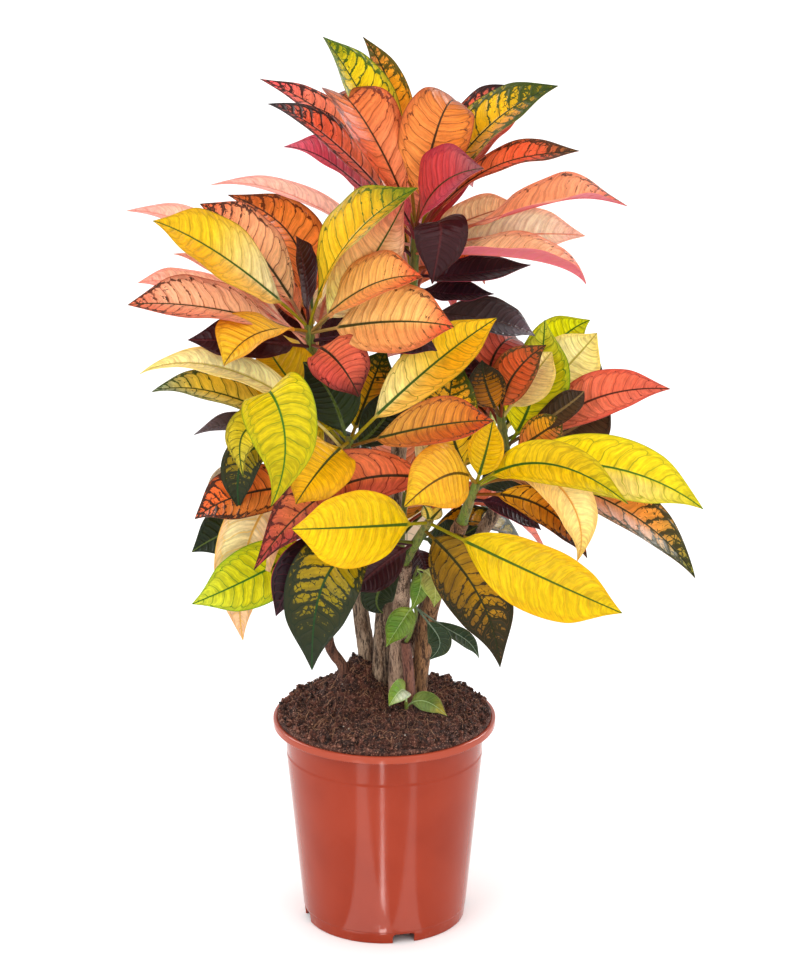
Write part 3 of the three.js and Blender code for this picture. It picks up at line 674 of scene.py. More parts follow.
wood = {
    "buried": 60, "rings": 110, "sides": 28, "shootRadii": (5, 3.5), "shootRings": 50, "shootSides": 22,
    "shootStrength": 0.7, "fullRadius": 6.5, "swell": 0.7, "swells": 0.55, "swellScale": 0.16,
    "fissures": 0.5, "fissureScale": 0.55, "stretch": 0.12, "scars": 40, "scarGap": 13, "scarShift": 3,
    "scarSize": (0.5, 1.2), "scarHeight": 0.7, "scarWidth": 3.4, "rough": 0.85, "greenRough": 0.5,
    # base, light and crack of each bark
    "grey": ("745843", "b09880", "2e1e16"), "pale": ("8a6a56", "c4a68e", "402a1c"),
    "warm": ("82603f", "b88860", "341f15"), "thin": ("5c3a2c", "7c5442", "2c1a14"),
    "green": ("6f8a2c", "8a7a3a", "4c5a22"), "stub": ("74483a", "8f6150", "452822"),
}


def barkMaterial(name, rough=wood["rough"]):
    material, tree = newMaterial(name + " bark")
    base, light, crack = map(colour, wood[name])
    patches, grain = unevenly(placeIn(tree), 90.0, 800.0, 0.35)
    streaks, fine = unevenly(placeIn(tree), 330.0, 1600.0, 0.12)
    surface = patches.blend(base, light)
    surface = streaks.ramp(0.45, 0.1, 0.0, 0.85).blend(surface, crack)
    surface = grain.ramp(0.5, 1.0, 0.0, 0.6).blend(surface, light)
    surface = fine.ramp(0.42, 0.1, 0.0, 0.8).blend(surface, crack)
    dress(tree, surface, rough, streaks * 1.5 + grain, 0.8, 0.7)
    return material


barkMaterials = {name: barkMaterial(name) for name in ("grey", "pale", "warm", "thin", "stub")}
shootBark = barkMaterial("green", wood["greenRough"])


def barkRelief(seed, scars=True, strength=1.0):  # swellings, fissures and the scars of fallen leaves
    draw = np.random.RandomState(seed)
    marks = [(k * wood["scarGap"] + draw.uniform(-1, 1) * wood["scarShift"], draw.uniform(0, 2 * math.pi),
              draw.uniform(*wood["scarSize"])) for k in range(wood["scars"])]
    shift = Vector((seed * 3.1, 0, 0))

    def reach(radius, turn, gone):
        spot = Vector((math.cos(turn) * radius, math.sin(turn) * radius, gone * wood["stretch"]))
        height = wood["swell"] + wood["swells"] * noise.noise(spot * wood["swellScale"] + shift)
        height -= wood["fissures"] * abs(noise.noise(spot * wood["fissureScale"] + shift))
        for scarAt, facing, size in marks if scars else ():
            gap = (gone - scarAt) / wood["scarWidth"]
            if abs(gap) < 3:
                around = 0.35 + 0.65 * max(0, math.cos(turn - facing))
                height += wood["scarHeight"] * size * math.exp(-gap * gap) * around
        return radius + strength * height
    return reach


def makeStem(index, name, stem):
    route = [at(p) for p in stem["route"]]
    foot, growth = at(stem["foot"]), at(stem["growth"])
    points = [route[0] - skyward * wood["buried"], *route, foot]
    relief = barkRelief(31 + index, strength=stem["radii"][1] / wood["fullRadius"])
    shell = Shell()
    addTube(shell, points, stem["radii"], wood["rings"], wood["sides"],
            last=unit(growth - foot), relief=relief)
    settle(shell.piece("wood_" + name, [barkMaterials[stem["bark"]]], sharp=80), "bark", "stem_" + name)


def makeStub():
    base, top = at(stub["base"]), at(stub["top"])
    relief = barkRelief(57, scars=False, strength=stub["strength"])
    shell = Shell()
    addTube(shell, [base - skyward * stub["buried"], base, top], stub["radii"], stub["rings"], wood["sides"],
            last=skyward, relief=relief)
    settle(shell.piece("wood_stub", [barkMaterials["stub"]], sharp=60), "bark", "stub")


for index, (name, stem) in enumerate(stems.items()):
    makeStem(index, name, stem)
makeStub()
print("stems done")

# The leaves. A look is its colours near the base, of the body, the lower half (partly the leaf's own colour,
# partly painted shade on the half that lies lower), tip, margin, midrib, side veins, dark marks and
# underside, then how much of the dark marks shows and how strongly the veins do.
# 97 of these colours were written by a program, from how the leaves of the picture and of the render
# differed: 16 near the base, 23 of the body, 22 of the lower half, 35 of the tip and one underside.
leafLooks = {
    "limeGold": "f4a860 f7da05 e0bd30 7c8904 7a8a14 34500f 4a5a10 46660e ecd8c0 0.42 0.9",
    "ladder": "f3d51f edbc05 df9034 5f6705 56680f 2a3c0e 364810 34480e d8a860 0.6 1.0",
    "mottle": "f09048 f7b022 c8782c c48a54 8f6428 3f3a18 5a4a14 50541a ecb4ac 0.52 1.0",
    "orange": "f79a6c e17d43 cc4e2a 6a2416 a8462a 3f2c14 94431f 6e2c1c f2a078 0.46 0.85",
    "brownOrange": "fba858 df8841 da8330 953b11 a04a28 43301a 8a4a20 6a3a1c e0895a 0.24 0.8",
    "rust": "e88844 f2a046 f78743 c46a37 6a3018 3a2010 7a3c18 5a3418 d07848 0.36 0.9",
    "crimson": "d85a5a c24446 ba4656 8a5a5c 8e2440 34401c 9a2840 6a1c2a e09aa0 0.2 0.7",
    "rose": "f9848a f7687c ec5c72 d87080 c03a50 3f2420 a82c48 7a1c30 f0a0ac 0.15 0.6",
    "coral": "fa9c78 ea7452 e87a5c d76954 b83c34 4a2418 b04030 3a2420 f49a90 0.16 0.8",
    "coralNet": "fccc90 f58e6b f7886c f75c66 7a2c26 3f2a1c 4a201a 1f1a18 f2a898 0.44 0.9",
    # the grey of redNet's tip is partly its dark net, partly a painted reflection of the sheen on the glossy
    # tip
    "redNet": "f7966e f77751 f75e49 694951 3a1c1a 2c1c14 2a1614 1c1416 b4a4a8 0.6 1.0",
    "peach": "f2a878 f3a878 f2907a dd5640 e87c60 d06a54 d88e60 2f2420 d6707a 0.34 0.6",
    "peachRed": "fbd6a4 fdd09c f6a088 f0705c e87c60 d06a54 d88e60 2f2420 de7c86 0.24 0.6",
    "cream": "fff4d4 fff6d8 ffeac8 f2bcaa f49e8c ea9c7c f4cba4 6a4a38 fab09c 0.0 0.25",
    "beige": "f7f194 e6b57a f7dfb5 cf6c59 c08060 2a541a c0845c 6a4a38 f0b8a0 0.04 0.6",
    "pink": "f9d8c0 f9cdb4 f7b199 f2a49a ee9294 ea9684 ee9c88 8a5040 f8bcb4 0.0 0.3",
    "maroon": "4c1c1e 40141a 3c161c 38171d 2c0e0f 5a2426 52201f 200e0f 4c2830 0.05 0.4",
    "purple": "46202e 301620 2c161e 30181d 1c0c0f 4a1e2a c03458 1c0e12 4a3640 0.05 0.12",
    "slate": "5e4b49 463838 463a3e 6a5a60 241a1a 54403c 443432 1c1516 9a8c94 0.05 0.3",
    "gold": "fbeab0 e9c21d eeb107 deb010 c49410 2c5a16 98841c 4a4a14 f2c860 0.06 0.5",
    "goldOlive": "fdeaa0 f8c818 f2ae14 eebc10 c49410 2c5a16 86801c 4a4a14 f2c860 0.06 0.8",
    "deepGold": "ecc040 e8b030 e4ac24 cfab13 c08018 5a4410 c88020 5a4a18 e8a040 0.04 0.7",
    "pureGold": "edb905 f3be03 e3a90c c69203 c08810 3a4a10 c08c0c 5a4a18 f0b840 0.0 0.7",
    "goldGreenTip": "f7d336 e1b610 e3a315 607c10 88881a 34641a 647418 425c0c f7d163 0.3 0.8",
    "goldArch": "e6c407 d6b203 deb404 bcaf07 a89a10 34641a a89010 5a6a10 f4e0a0 0.1 0.8",
    "salmon": "f7c890 f9b280 f08e6c ee6e40 a04c38 343418 8a4630 221a16 f2a898 0.42 0.9",
    "salmonPale": "fbd8b0 f9c8a2 ec9470 e07450 a04c38 343418 a85434 221a16 f2a898 0.34 0.8",
    "amber": "f9cf88 f7be70 eb9a5c e35130 a8402a 2c3c16 c07a42 2f2618 f0a870 0.24 0.75",
    "apricot": "ffe6b8 ffdcac ffcc9c ffb488 e87c58 b86a44 dc8c5c 8a4a30 f0a870 0.06 0.5",
    "tawny": "d29d48 ce852d bd6126 bd4413 a8402a 2c3c16 8a4826 2f2618 f0a870 0.28 1.0",
    "orangeNet": "f09440 e8742c c97833 de6130 6a2c18 2c2412 4a2412 241a10 d88858 0.46 1.0",
    "ochreNet": "e6ad21 d07814 b9751a a04420 6a2c18 2c2412 4a2412 241a10 d88858 0.5 1.0",
    "brick": "e07a54 cf6149 c55348 41100e 5a2018 2a2814 8a2a22 2c120e d87468 0.28 0.9",
    "coralDark": "e67c4c de8046 bb533e ae3e3b 6a2020 2f2c16 7a2a20 3f1814 d88070 0.34 0.9",
    "yellow": "ddbd03 dfb803 e1bb03 dcba03 e4a804 3c6210 d09c04 6a6a10 fbdc60 0.0 0.6",
    # the pale lower half of yellowPale is partly a painted highlight, the glare on that half of the leaf
    "yellowPale": "ecd414 e2c915 dec66a c5ba1b b8b010 44741a 98981a 6a6a10 faf0c8 0.04 0.8",
    "lime": "f0de2b c0b204 c8b204 ad9f04 98a010 38721a 788a10 5a7a14 e4dc80 0.06 0.8",
    "limePale": "ead61c f7f708 ccba04 cad215 98a010 38721a 788a10 5a7a14 e4dc80 0.1 0.9",
    "limeGreen": "f7f418 c2bd04 cac309 c8cf3b 7a9c16 34701a 56841a 4f7a12 c8cc78 0.14 0.85",
    "olive": "f0d860 ecc640 dcc470 889781 5a6424 30440f 46561c 384a20 ccb898 0.34 1.0",
    "oliveYellow": "dcc81c d1c22b ead313 bbb03d 7a741c 40601a 7a7a1c 4a5020 ccc080 0.2 0.8",
    "green": "2a390a 222e08 222a08 1e2c18 141e10 5a6a28 3a5220 10180d 4a5640 0.1 0.4",
    "greenNet": "f0c414 94800a 8a7c0a 34441e 1c260f 20481a 1c2c14 202a16 6a6a3c 0.9 1.0",
    "greenRed": "d78b0e 966209 6a3f0b 56210a 2a1c12 2c3012 4a3416 22240f 8a5a3c 0.74 1.0",
    "greenOchre": "80640e aa8006 7c5c0a 613b28 2a1c12 2c3012 4a3416 22240f 8a5a3c 0.7 1.0",
    "creamYellow": "fff0a8 fff0b0 ffea9c ecd87b ecc85c c0b04c f4dc90 8a7a40 fbecc0 0.0 0.2",
    "peachGold": "fcd272 fbdc96 f8cc80 e2c06c e8ac5c dca044 f0c880 8a6a40 fce8c0 0.0 0.3",
    "peachCream": "fbe0b4 f7e2a9 f8c89c f3be98 f0a878 e0b050 ecc04c 8a6a40 fce0c0 0.0 0.7",
    "redGreen": "f59a5c ee6a40 dc5236 6a5a2c 5a4a24 34301a 6a3a1c 4a2c1a e89078 0.5 0.9",
    "redOlive": "f09050 cc5c26 c86030 8f521f 5a4a24 34301a 6a3a1c 403c1c e89078 0.4 0.9",
    "oliveTip": "f0b070 e89a40 c08a70 7c8430 5a4a20 2c3410 4a3a1a 2f3414 dcb0a0 0.5 1.0",
    "bronze": "54402a 44351f 56432b 3c2a18 2e2012 8a7244 30261a 221a10 5a4a3a 0.2 0.6",
    "young": "98ac48 5c8426 7e9a4c 748c22 4c6c1c b4c882 88a850 37701a a8b88a 0.0 0.6",
    "youngDark": "344c2c 2a3c24 33452c 24381e 1e321a 889880 6a7c60 1f3018 7c8a78 0.0 0.5",
    "sproutPale": "a4b060 6e9230 e6ead0 8aa03c 6a8a2c c8d8a0 a8bc74 5a8a20 c0cca4 0.0 0.4",
    "sproutGreen": "809044 587026 789050 b4a43c 54702a a4b87c 8ca05c 4a6a20 a8b890 0.0 0.5",
    "youngPale": "c4cc80 b4bc68 b8bc70 9ca850 94b444 dce494 d0dc80 5a8a20 dce0b8 0.0 0.5",
}
darkLooks = "maroon", "purple", "slate", "green", "bronze", "greenNet"
leafForm = {
    "thickness": 0.75, "tipWidth": 0.7, "stalkWidth": 3.4, "stalkThickness": 3.0, "stalk": 4, "samples": 24,
    "levelAt": 14 / 24, "rings": 61, "across": (0, 0.12, 0.3, 0.5, 0.7, 0.87, 1), "ribHalf": 1.6,
    "fullWidth": 60, "fullness": 3.24, "baseRounding": 0.8, "tipTaper": 0.9, "tipStart": 0.7,
    "tipPinch": 0.45, "stalkEnds": 0.35, "foldStart": 6, "crown": 0.32, "ridge": 0.45, "groove": 0.3,
    "twist": 14, "twistStart": 0.45, "wave": 1.5, "waves": (1.4, 3.2),
    "albedo": 0.93, "ownTone": 0.05, "ownHue": 0.03, "lowerBase": 0.35,
}
# The far side's leaves, by a rule that draws each one's length, width and droop
farLeaf = {
    "goldenShare": 0.618, "firstTurn": 0.3, "riseSpread": 10,
    "reach": (150, 40), "wide": (52, 14), "droop": (28, 16),
    "bendAt": 0.52, "tipAt": 0.94, "levelling": 0.9, "fold": 16, "firstSeed": 1065,
}
# Each leaf is (how far below the growth point it is rooted, the places that its midrib passes, its
# width, its roll and the fold of its halves in degrees, its look, and its stalk if unusual).
crowns = {
    "top": {"leaves": [
        (6, [(372, 118, 30), (323, 37, 20)], 66, 45, 24, "limeGold"),
        (8, [(398, 112, 66), (363, 37, 70)], 34, 15, 22, "mottle"),
        (10, [(388, 165, -8), (354, 107, -6), (334, 99, 38)], 76, 42, 20, "orange"),
        (5, [(428, 165, 4), (442, 116, 2), (456, 101, 40)], 72, -6, 18, "brownOrange"),
        (12, [(438, 188, -35), (484, 169, -52)], 76, -46, 20, "crimson"),
        (10, [(478, 138, 14), (558, 86, 6)], 66, -50, 18, "ladder"),
        (12, [(468, 132, 54), (512, 86, 64)], 46, -35, 18, "redNet"),
        (14, [(475, 150, 30), (526, 110, 32)], 50, -48, 18, "coral"),
        (18, [(472, 180, -8), (528, 157, -16), (579, 151, -20)], 46, -56, 18, "redGreen"),
        (16, [(519, 211, -30), (577, 198, -36), (627, 206, -36)], 76, -66, 22, "peach"),
        (22, [(470, 220, 26), (520, 205, 34)], 50, -50, 18, "apricot"),
        (24, [(508, 236, 6), (585, 236, 2)], 58, -42, 18, "cream"),
        (28, [(480, 254, -34), (545, 262, -42), (586, 284, -44)], 64, -70, 32, "peachRed"),
        (20, [(438, 222, -28), (440, 242, -42), (432, 284, -44)], 52, 0, 10, "maroon"),
        (50, [(466, 275, -4), (531, 265, 0)], 46, -52, 18, "purple"),
        (44, [(462, 262, 20), (498, 259, 24)], 34, -45, 18, "orangeNet"),
        (62, [(448, 294, -6), (494, 294, -8)], 38, -50, 18, "purple"),
        (14, [(361, 188, 16), (322, 158, 8), (284, 147, 2)], 56, 58, 20, "rose"),
        (8, [(337, 146, 12), (268, 104, 4)], 48, 52, 18, "redNet"),
        (2, [(364, 152, 50), (314, 107, 62), (260, 79, 66)], 40, 44, 18, "coralNet"),
        (20, [(345, 222, 24), (284, 193, 28), (211, 185, 26)], 44, 64, 18, "pink"),
        (34, [(386, 244, 2), (350, 264, -4)], 36, 20, 18, "maroon"),
        (16, [(398, 208, -16), (378, 224, -20)], 32, 5, 18, "rose"),
        (90, [(482, 319, -4), (535, 336, -6)], 50, -42, 18, "slate"),
    ], "far": {"count": 9, "turns": (60, 118), "rises": (20, 55), "roots": (24, 95),
        "looks": "coral pink peach crimson limeGold maroon".split()}},
    "upper_left": {"leaves": [
        (4, [(226, 259, -58), (153, 221, -72)], 74, 42, 17, "gold"),
        (9, [(256, 250, -14), (200, 204, -14)], 58, 32, 18, "salmon"),
        (10, [(304, 268, 18), (281, 225, 38), (228, 195, 38)], 66, 38, 18, "rust"),
        (6, [(304, 275, -32), (296, 236, -40)], 40, 60, 15, "maroon"),
        (5, [(348, 244, -54), (418, 188, -52)], 78, -57, 24, "goldGreenTip"),
        (12, [(362, 274, -36), (404, 202, -28)], 60, -12, 16, "beige"),
        (10, [(366, 288, -64), (423, 277, -68)], 68, -48, 20, "amber"),
        (10, [(388, 322, -74), (454, 327, -84)], 74, -20, 15, "amber"),
        (22, [(337, 361, -72), (359, 397, -84)], 60, -8, 22, "brick"),
        (8, [(258, 334, -68), (224, 366, -90)], 74, 52, 20, "deepGold", 4),
        (12, [(212, 309, -44), (128, 305, -52)], 70, 52, 20, "salmonPale"),
        (16, [(208, 291, 0), (138, 283, -4)], 38, 50, 18, "pink"),
        (10, [(216, 241, 16), (127, 211, 8)], 44, 52, 18, "pink"),
        (28, [(236, 282, -26), (173, 254, -34)], 28, 50, 18, "pink"),
        (24, [(252, 342, -52), (188, 340, -58)], 52, 35, 18, "maroon"),
        (18, [(388, 336, -62), (437, 351, -70)], 34, -10, 15, "purple"),
        (26, [(334, 338, 6), (354, 312, 14)], 36, 0, 14, "maroon"),
    ], "far": {"count": 6, "turns": (70, 138), "rises": (10, 42), "roots": (22, 50),
        "looks": "gold peach orange pink maroon".split()}},
    "left": {"leaves": [
        (50, [(270, 396, -72), (281, 415, -114), (271, 506, -126)], 72, 0, 14, "lime", 8),
        (4, [(323, 466, -110), (296, 504, -124)], 68, 12, 22, "pureGold"),
        (6, [(427, 370, -62), (497, 318, -36)], 56, -20, 17, "goldOlive"),
        (10, [(430, 427, -104), (494, 421, -108)], 56, -34, 17, "tawny"),
        (12, [(332, 398, -50), (303, 362, -42)], 58, 10, 16, "green"),
        (4, [(324, 420, -50), (296, 405, -50)], 30, 0, 14, "yellow", 7),
        (12, [(294, 386, -34), (264, 342, 0)], 66, 0, 16, "yellow"),
        (18, [(280, 394, -62), (206, 365, -58), (140, 374, -64)], 44, 50, 18, "creamYellow"),
        (24, [(236, 399, -52), (152, 392, -78)], 50, 50, 18, "olive"),
        (34, [(262, 428, -52), (194, 435, -58)], 36, 56, 18, "slate"),
        (44, [(264, 446, -74), (239, 470, -80), (239, 510, -84)], 38, 0, 16, "greenNet"),
        (36, [(257, 426, -92), (243, 476, -102)], 40, 0, 16, "oliveYellow"),
        (56, [(254, 492, -70), (195, 519, -80)], 56, 20, 16, "orangeNet"),
        (76, [(250, 524, -36), (192, 552, -42)], 56, 20, 16, "green"),
        (60, [(276, 497, -58), (244, 560, -64), (243, 640, -66)], 62, 0, 16, "peachCream"),
        (104, [(264, 571, -74), (192, 604, -92)], 62, 0, 18, "limeGreen"),
        (8, [(368, 394, -6), (386, 348, 0)], 54, 0, 14, "ladder"),
        (14, [(380, 424, -34), (404, 382, -27)], 44, 0, 14, "green"),
    ], "far": {"count": 3, "turns": (126, 152), "rises": (5, 30), "roots": (30, 90),
        "looks": "lime olive green gold".split()}},
    "rear_right": {"leaves": [
        (40, [(534, 392, 2), (545, 320, 18)], 66, 0, 14, "limeGreen"),
        (8, [(512, 378, -30), (546, 345, -30)], 44, -12, 18, "redOlive"),
        (8, [(530, 380, -8), (552, 352, -2)], 50, -15, 16, "creamYellow"),
        (20, [(562, 372, 28), (597, 333, 22)], 62, 0, 14, "creamYellow"),
        (14, [(546, 354, 50), (590, 320, 54)], 54, 10, 14, "limePale"),
        (56, [(562, 416, 8), (615, 393, 2), (670, 389, -6)], 52, -28, 14, "coral"),
        (30, [(570, 396, 46), (593, 347, 54)], 44, 30, 14, "greenNet"),
        (50, [(574, 428, 24), (610, 402, 24)], 58, 0, 14, "bronze"),
        (36, [(560, 411, -14), (584, 391, -14)], 28, -20, 14, "bronze"),
        (46, [(540, 434, -16), (563, 418, -14)], 36, 0, 14, "mottle"),
        (4, [(489, 374, -4), (502, 344, 0), (520, 342, 36)], 62, -5, 16, "brick"),
        (4, [(478, 384, -14), (466, 349, -14)], 26, 0, 14, "maroon"),
        (6, [(487, 388, -34), (482, 360, -40)], 38, 0, 14, "greenRed"),
    ], "far": {"count": 6, "turns": (60, 150), "rises": (15, 42), "roots": (16, 40),
        "looks": "limeGreen coral cream green orange".split()}},
    "right": {"leaves": [
        (4, [(547, 464, -108), (628, 504, -124)], 48, -8, 28, "goldArch", 3),
        (6, [(552, 464, -76), (633, 473, -84), (703, 509, -92)], 62, -5, 18, "yellowPale"),
        (16, [(542, 507, -92), (587, 558, -96)], 40, -25, 16, "ochreNet"),
        (6, [(552, 482, -68), (635, 517, -90), (695, 578, -98)], 58, -42, 18, "oliveTip"),
        (6, [(532, 470, -92), (573, 506, -108), (577, 561, -114)], 46, -20, 18, "peachGold"),
        (22, [(508, 508, -78), (541, 530, -78)], 26, -30, 14, "purple"),
        (6, [(486, 452, -86), (493, 420, -90)], 36, -10, 14, "yellow"),
        (4, [(450, 420, -66), (461, 353, -42)], 56, 0, 14, "ladder"),
        (2, [(448, 475, -118), (404, 507, -134)], 64, 0, 6, "deepGold"),
        (10, [(385, 476, -84), (315, 501, -92), (254, 570, -100)], 66, 20, 16, "coralDark"),
        (14, [(502, 474, -30), (534, 460, -22)], 40, 0, 14, "green"),
    ]},
    "low_middle": {"leaves": [
        (4, [(355, 527, -126), (292, 529, -142)], 78, -12, 16, "yellow", 3),
        (4, [(531, 572, -124), (622, 613, -138)], 74, 22, 16, "yellow", 4),
        (14, [(448, 553, -82), (480, 598, -98), (500, 667, -98)], 66, 0, 16, "greenOchre"),
        (34, [(348, 552, -92), (318, 600, -112), (312, 670, -108)], 72, 0, 14, "greenNet"),
        (36, [(340, 548, -78), (297, 576, -95), (276, 616, -100)], 50, 10, 14, "purple"),
        (30, [(382, 566, -52), (350, 592, -60)], 40, 0, 14, "maroon"),
        (32, [(380, 588, -44), (383, 613, -48)], 34, 0, 14, "green"),
        (4, [(427, 512, -66), (423, 505, -70)], 12, 0, 14, "olive"),
        (4, [(436, 514, -58), (442, 508, -56)], 12, 0, 14, "olive"),
        (24, [(446, 540, -14), (478, 526, -10)], 40, 0, 14, "green"),
        (34, [(424, 566, -10), (436, 590, 6)], 34, 0, 14, "maroon"),
    ]},
    "rear": {"leaves": [], "far": {"count": 13, "turns": (0, 180), "rises": (5, 40), "roots": (4, 70),
        "looks": "gold green orange limeGold greenNet cream coral".split()}},
}
youngShoot = {
    "route": [(411, 632, -26), (416, 613, -30), (411, 590, -34), (418, 566, -38)], "radii": (1.8, 1.2),
    "stalkWidth": 1.8, "stalkThickness": 1.6, "startsAbove": 0.3,
    "leaves": [
        (0.6, [(403, 620, -40), (386, 647, -48)], 27, 10, 16, "young"),
        (0.6, [(432, 627, -40), (440, 643, -46), (429, 660, -50)], 24, 0, 14, "youngDark", 6),
        (0.58, [(446, 628, -36), (466, 640, -40), (479, 658, -42)], 17, -20, 16, "youngDark", 5),
        (0.96, [(421, 584, -44), (411, 611, -46)], 18, 0, 14, "young"),
        (0.97, [(433, 580, -54), (434, 607, -62)], 26, 0, 12, "youngPale"),
    ],
}
basalSprout = {
    "route": [(407, 732, -36), (407, 716, -35), (406, 702, -34)], "radii": (2, 1.6),
    "stalkWidth": 2, "stalkThickness": 1.8,
    "leaves": [
        (0.9, [(404, 690, -34), (397, 694, -46), (389, 706, -52)], 24, 0, 30, "sproutPale"),
        (0.8, [(424, 701, -40), (447, 716, -46)], 20, -10, 12, "sproutGreen"),
    ],
}
smallShoot = {"rings": 40, "sides": 14, "strength": 0.25}


def drawsFrom(seed):  # a repeatable row of numbers between 0 and 1
    state = seed
    while True:
        state = state * 16807 % 2147483647
        yield state / 2147483647


def midrib(points, roll):  # a leaf's middle line with its directions and its left sides
    spots = through(points, np.linspace(0, 1, leafForm["rings"]))
    along = directionsAlong(spots)
    level = round(leafForm["levelAt"] * (leafForm["rings"] - 1))
    side = unit(np.cross(-ahead, along[level]))
    face = np.cross(along[level], side)
    sides = np.zeros_like(spots)
    sides[level] = side * math.cos(math.radians(roll)) + face * math.sin(math.radians(roll))
    for way in (range(level + 1, len(spots)), range(level - 1, -1, -1)):
        for i in way:
            before = sides[i - 1] if i > level else sides[i + 1]
            sides[i] = unit(before - along[i] * (before @ along[i]))
    return spots, along, sides


def levelRoll(points):  # the roll that turns a leaf's upper face to the sky
    spots, along, sides = midrib(points, 0)
    level = round(leafForm["levelAt"] * (leafForm["rings"] - 1))
    face = np.cross(along[level], sides[level])
    flat = unit(np.cross(skyward, along[level]))
    return math.degrees(math.atan2(flat @ face, flat @ sides[level]))


# The leaf's cross-sections, each from one margin to the other: how far the points are from the midrib
# in millimetres and as a share of the half width, how far sideways, and how high above and below
def bladeSections(share, wide, fold, waves, form):
    share, size = share[:, None], min(1, wide / leafForm["fullWidth"])
    onBlade = np.clip(share, 0, 1)
    taper = (1 - onBlade) ** leafForm["tipTaper"]
    outline = leafForm["fullness"] * onBlade ** leafForm["baseRounding"] * taper
    outline = outline * (1 - leafForm["tipPinch"] * smooth(leafForm["tipStart"], 1, onBlade))
    stalkHalf = form["stalkWidth"] / 2 * (1 - smooth(0, leafForm["stalkEnds"], share))
    half = np.sqrt((wide * outline / 2) ** 2 + stalkHalf ** 2 + (leafForm["tipWidth"] / 2) ** 2)
    inner = np.minimum(leafForm["ribHalf"] * size ** 0.5, 0.35 * half)
    outward = np.array(leafForm["across"])
    edges = np.concatenate([-np.ones(len(outward)), [0], np.ones(len(outward))])
    x = edges * (inner + (half - inner) * np.concatenate([outward[::-1], [0], outward]))
    c = x / half
    calmEnds = np.sin(math.pi * onBlade)
    left, right = (leafForm["wave"] * size * np.sin(count * 2 * math.pi * onBlade + start) * calmEnds
                   for count, start in waves)
    lift = np.radians(fold) * np.clip(share * leafForm["foldStart"], 0, 1)
    blade = smooth(-0.03, 0.12, share)
    swell = (1 + leafForm["crown"]) * np.abs(c) - leafForm["crown"] * c * c
    rise = half * np.sin(lift) * swell + np.where(edges > 0, right, left) * c * c
    flat = half * c * (1 + (np.cos(lift) - 1) * blade)
    bladeThick = leafForm["thickness"] * (1 - 0.5 * c * c) * np.clip(size * 1.2, 0.6, 1)
    stalkThick = form["stalkThickness"] * np.sqrt(np.clip(1 - c * c, 0, 1))
    thick = mix(stalkThick, bladeThick, blade)
    ridge = form["stalkThickness"] * leafForm["ridge"] * (1 - onBlade) ** 0.8
    ridge = ridge * np.exp(-(x / (1.45 - onBlade)) ** 2)
    groove = leafForm["groove"] * size * (1 - onBlade) * np.exp(-x * x)
    return x, c, flat, rise + thick / 2 - groove * blade, rise - thick / 2 - ridge * blade


# What the leaf is painted with at each point: from base to tip, over the half that lies higher and the
# lower one, whose colour is partly painted shade and partly the leaf's own, and to the margin. c runs across
# the blade, s along it.
def leafColours(draw, look, c, s, shadedHalf):
    base, body, shadedLower, tip, margin, rib, veins, dark, back = map(tint, look)
    shade = leafForm["albedo"] * draw.uniform(1 - leafForm["ownTone"], 1 + leafForm["ownTone"])
    shade = shade * (1 + leafForm["ownHue"] * draw.uniform(-1, 1, 3))
    # painted shade, in part: the half of the blade that lies lower takes the look's lower-half colour
    flesh = mix(body, shadedLower, shadedHalf)
    flesh = mix(flesh, base, (1 - smooth(0.02, 0.6, s)) * mix(1, leafForm["lowerBase"], shadedHalf))
    flesh = mix(flesh, tip, smooth(0.6, 1.0, s + 0.06 * np.abs(c)) * 0.9)
    flesh = mix(flesh, margin, smooth(0.72, 1.06, np.abs(c)) * smooth(0.1, 0.5, s) * 0.8)
    flesh = mix(mix(rib, body, 0.35), flesh, smooth(-0.02, 0.05, s)) * shade
    tones = {"flesh": flesh, "rib": rib * leafForm["albedo"], "veins": veins * leafForm["albedo"],
             "dark": dark * leafForm["albedo"], "back": back * shade}
    painted = {}
    for key, values in tones.items():
        values = np.clip(np.broadcast_to(values, flesh.shape), 0, 1).reshape(-1, 3)
        painted[key] = np.concatenate([values, np.ones((len(values), 1))], 1)
    return painted


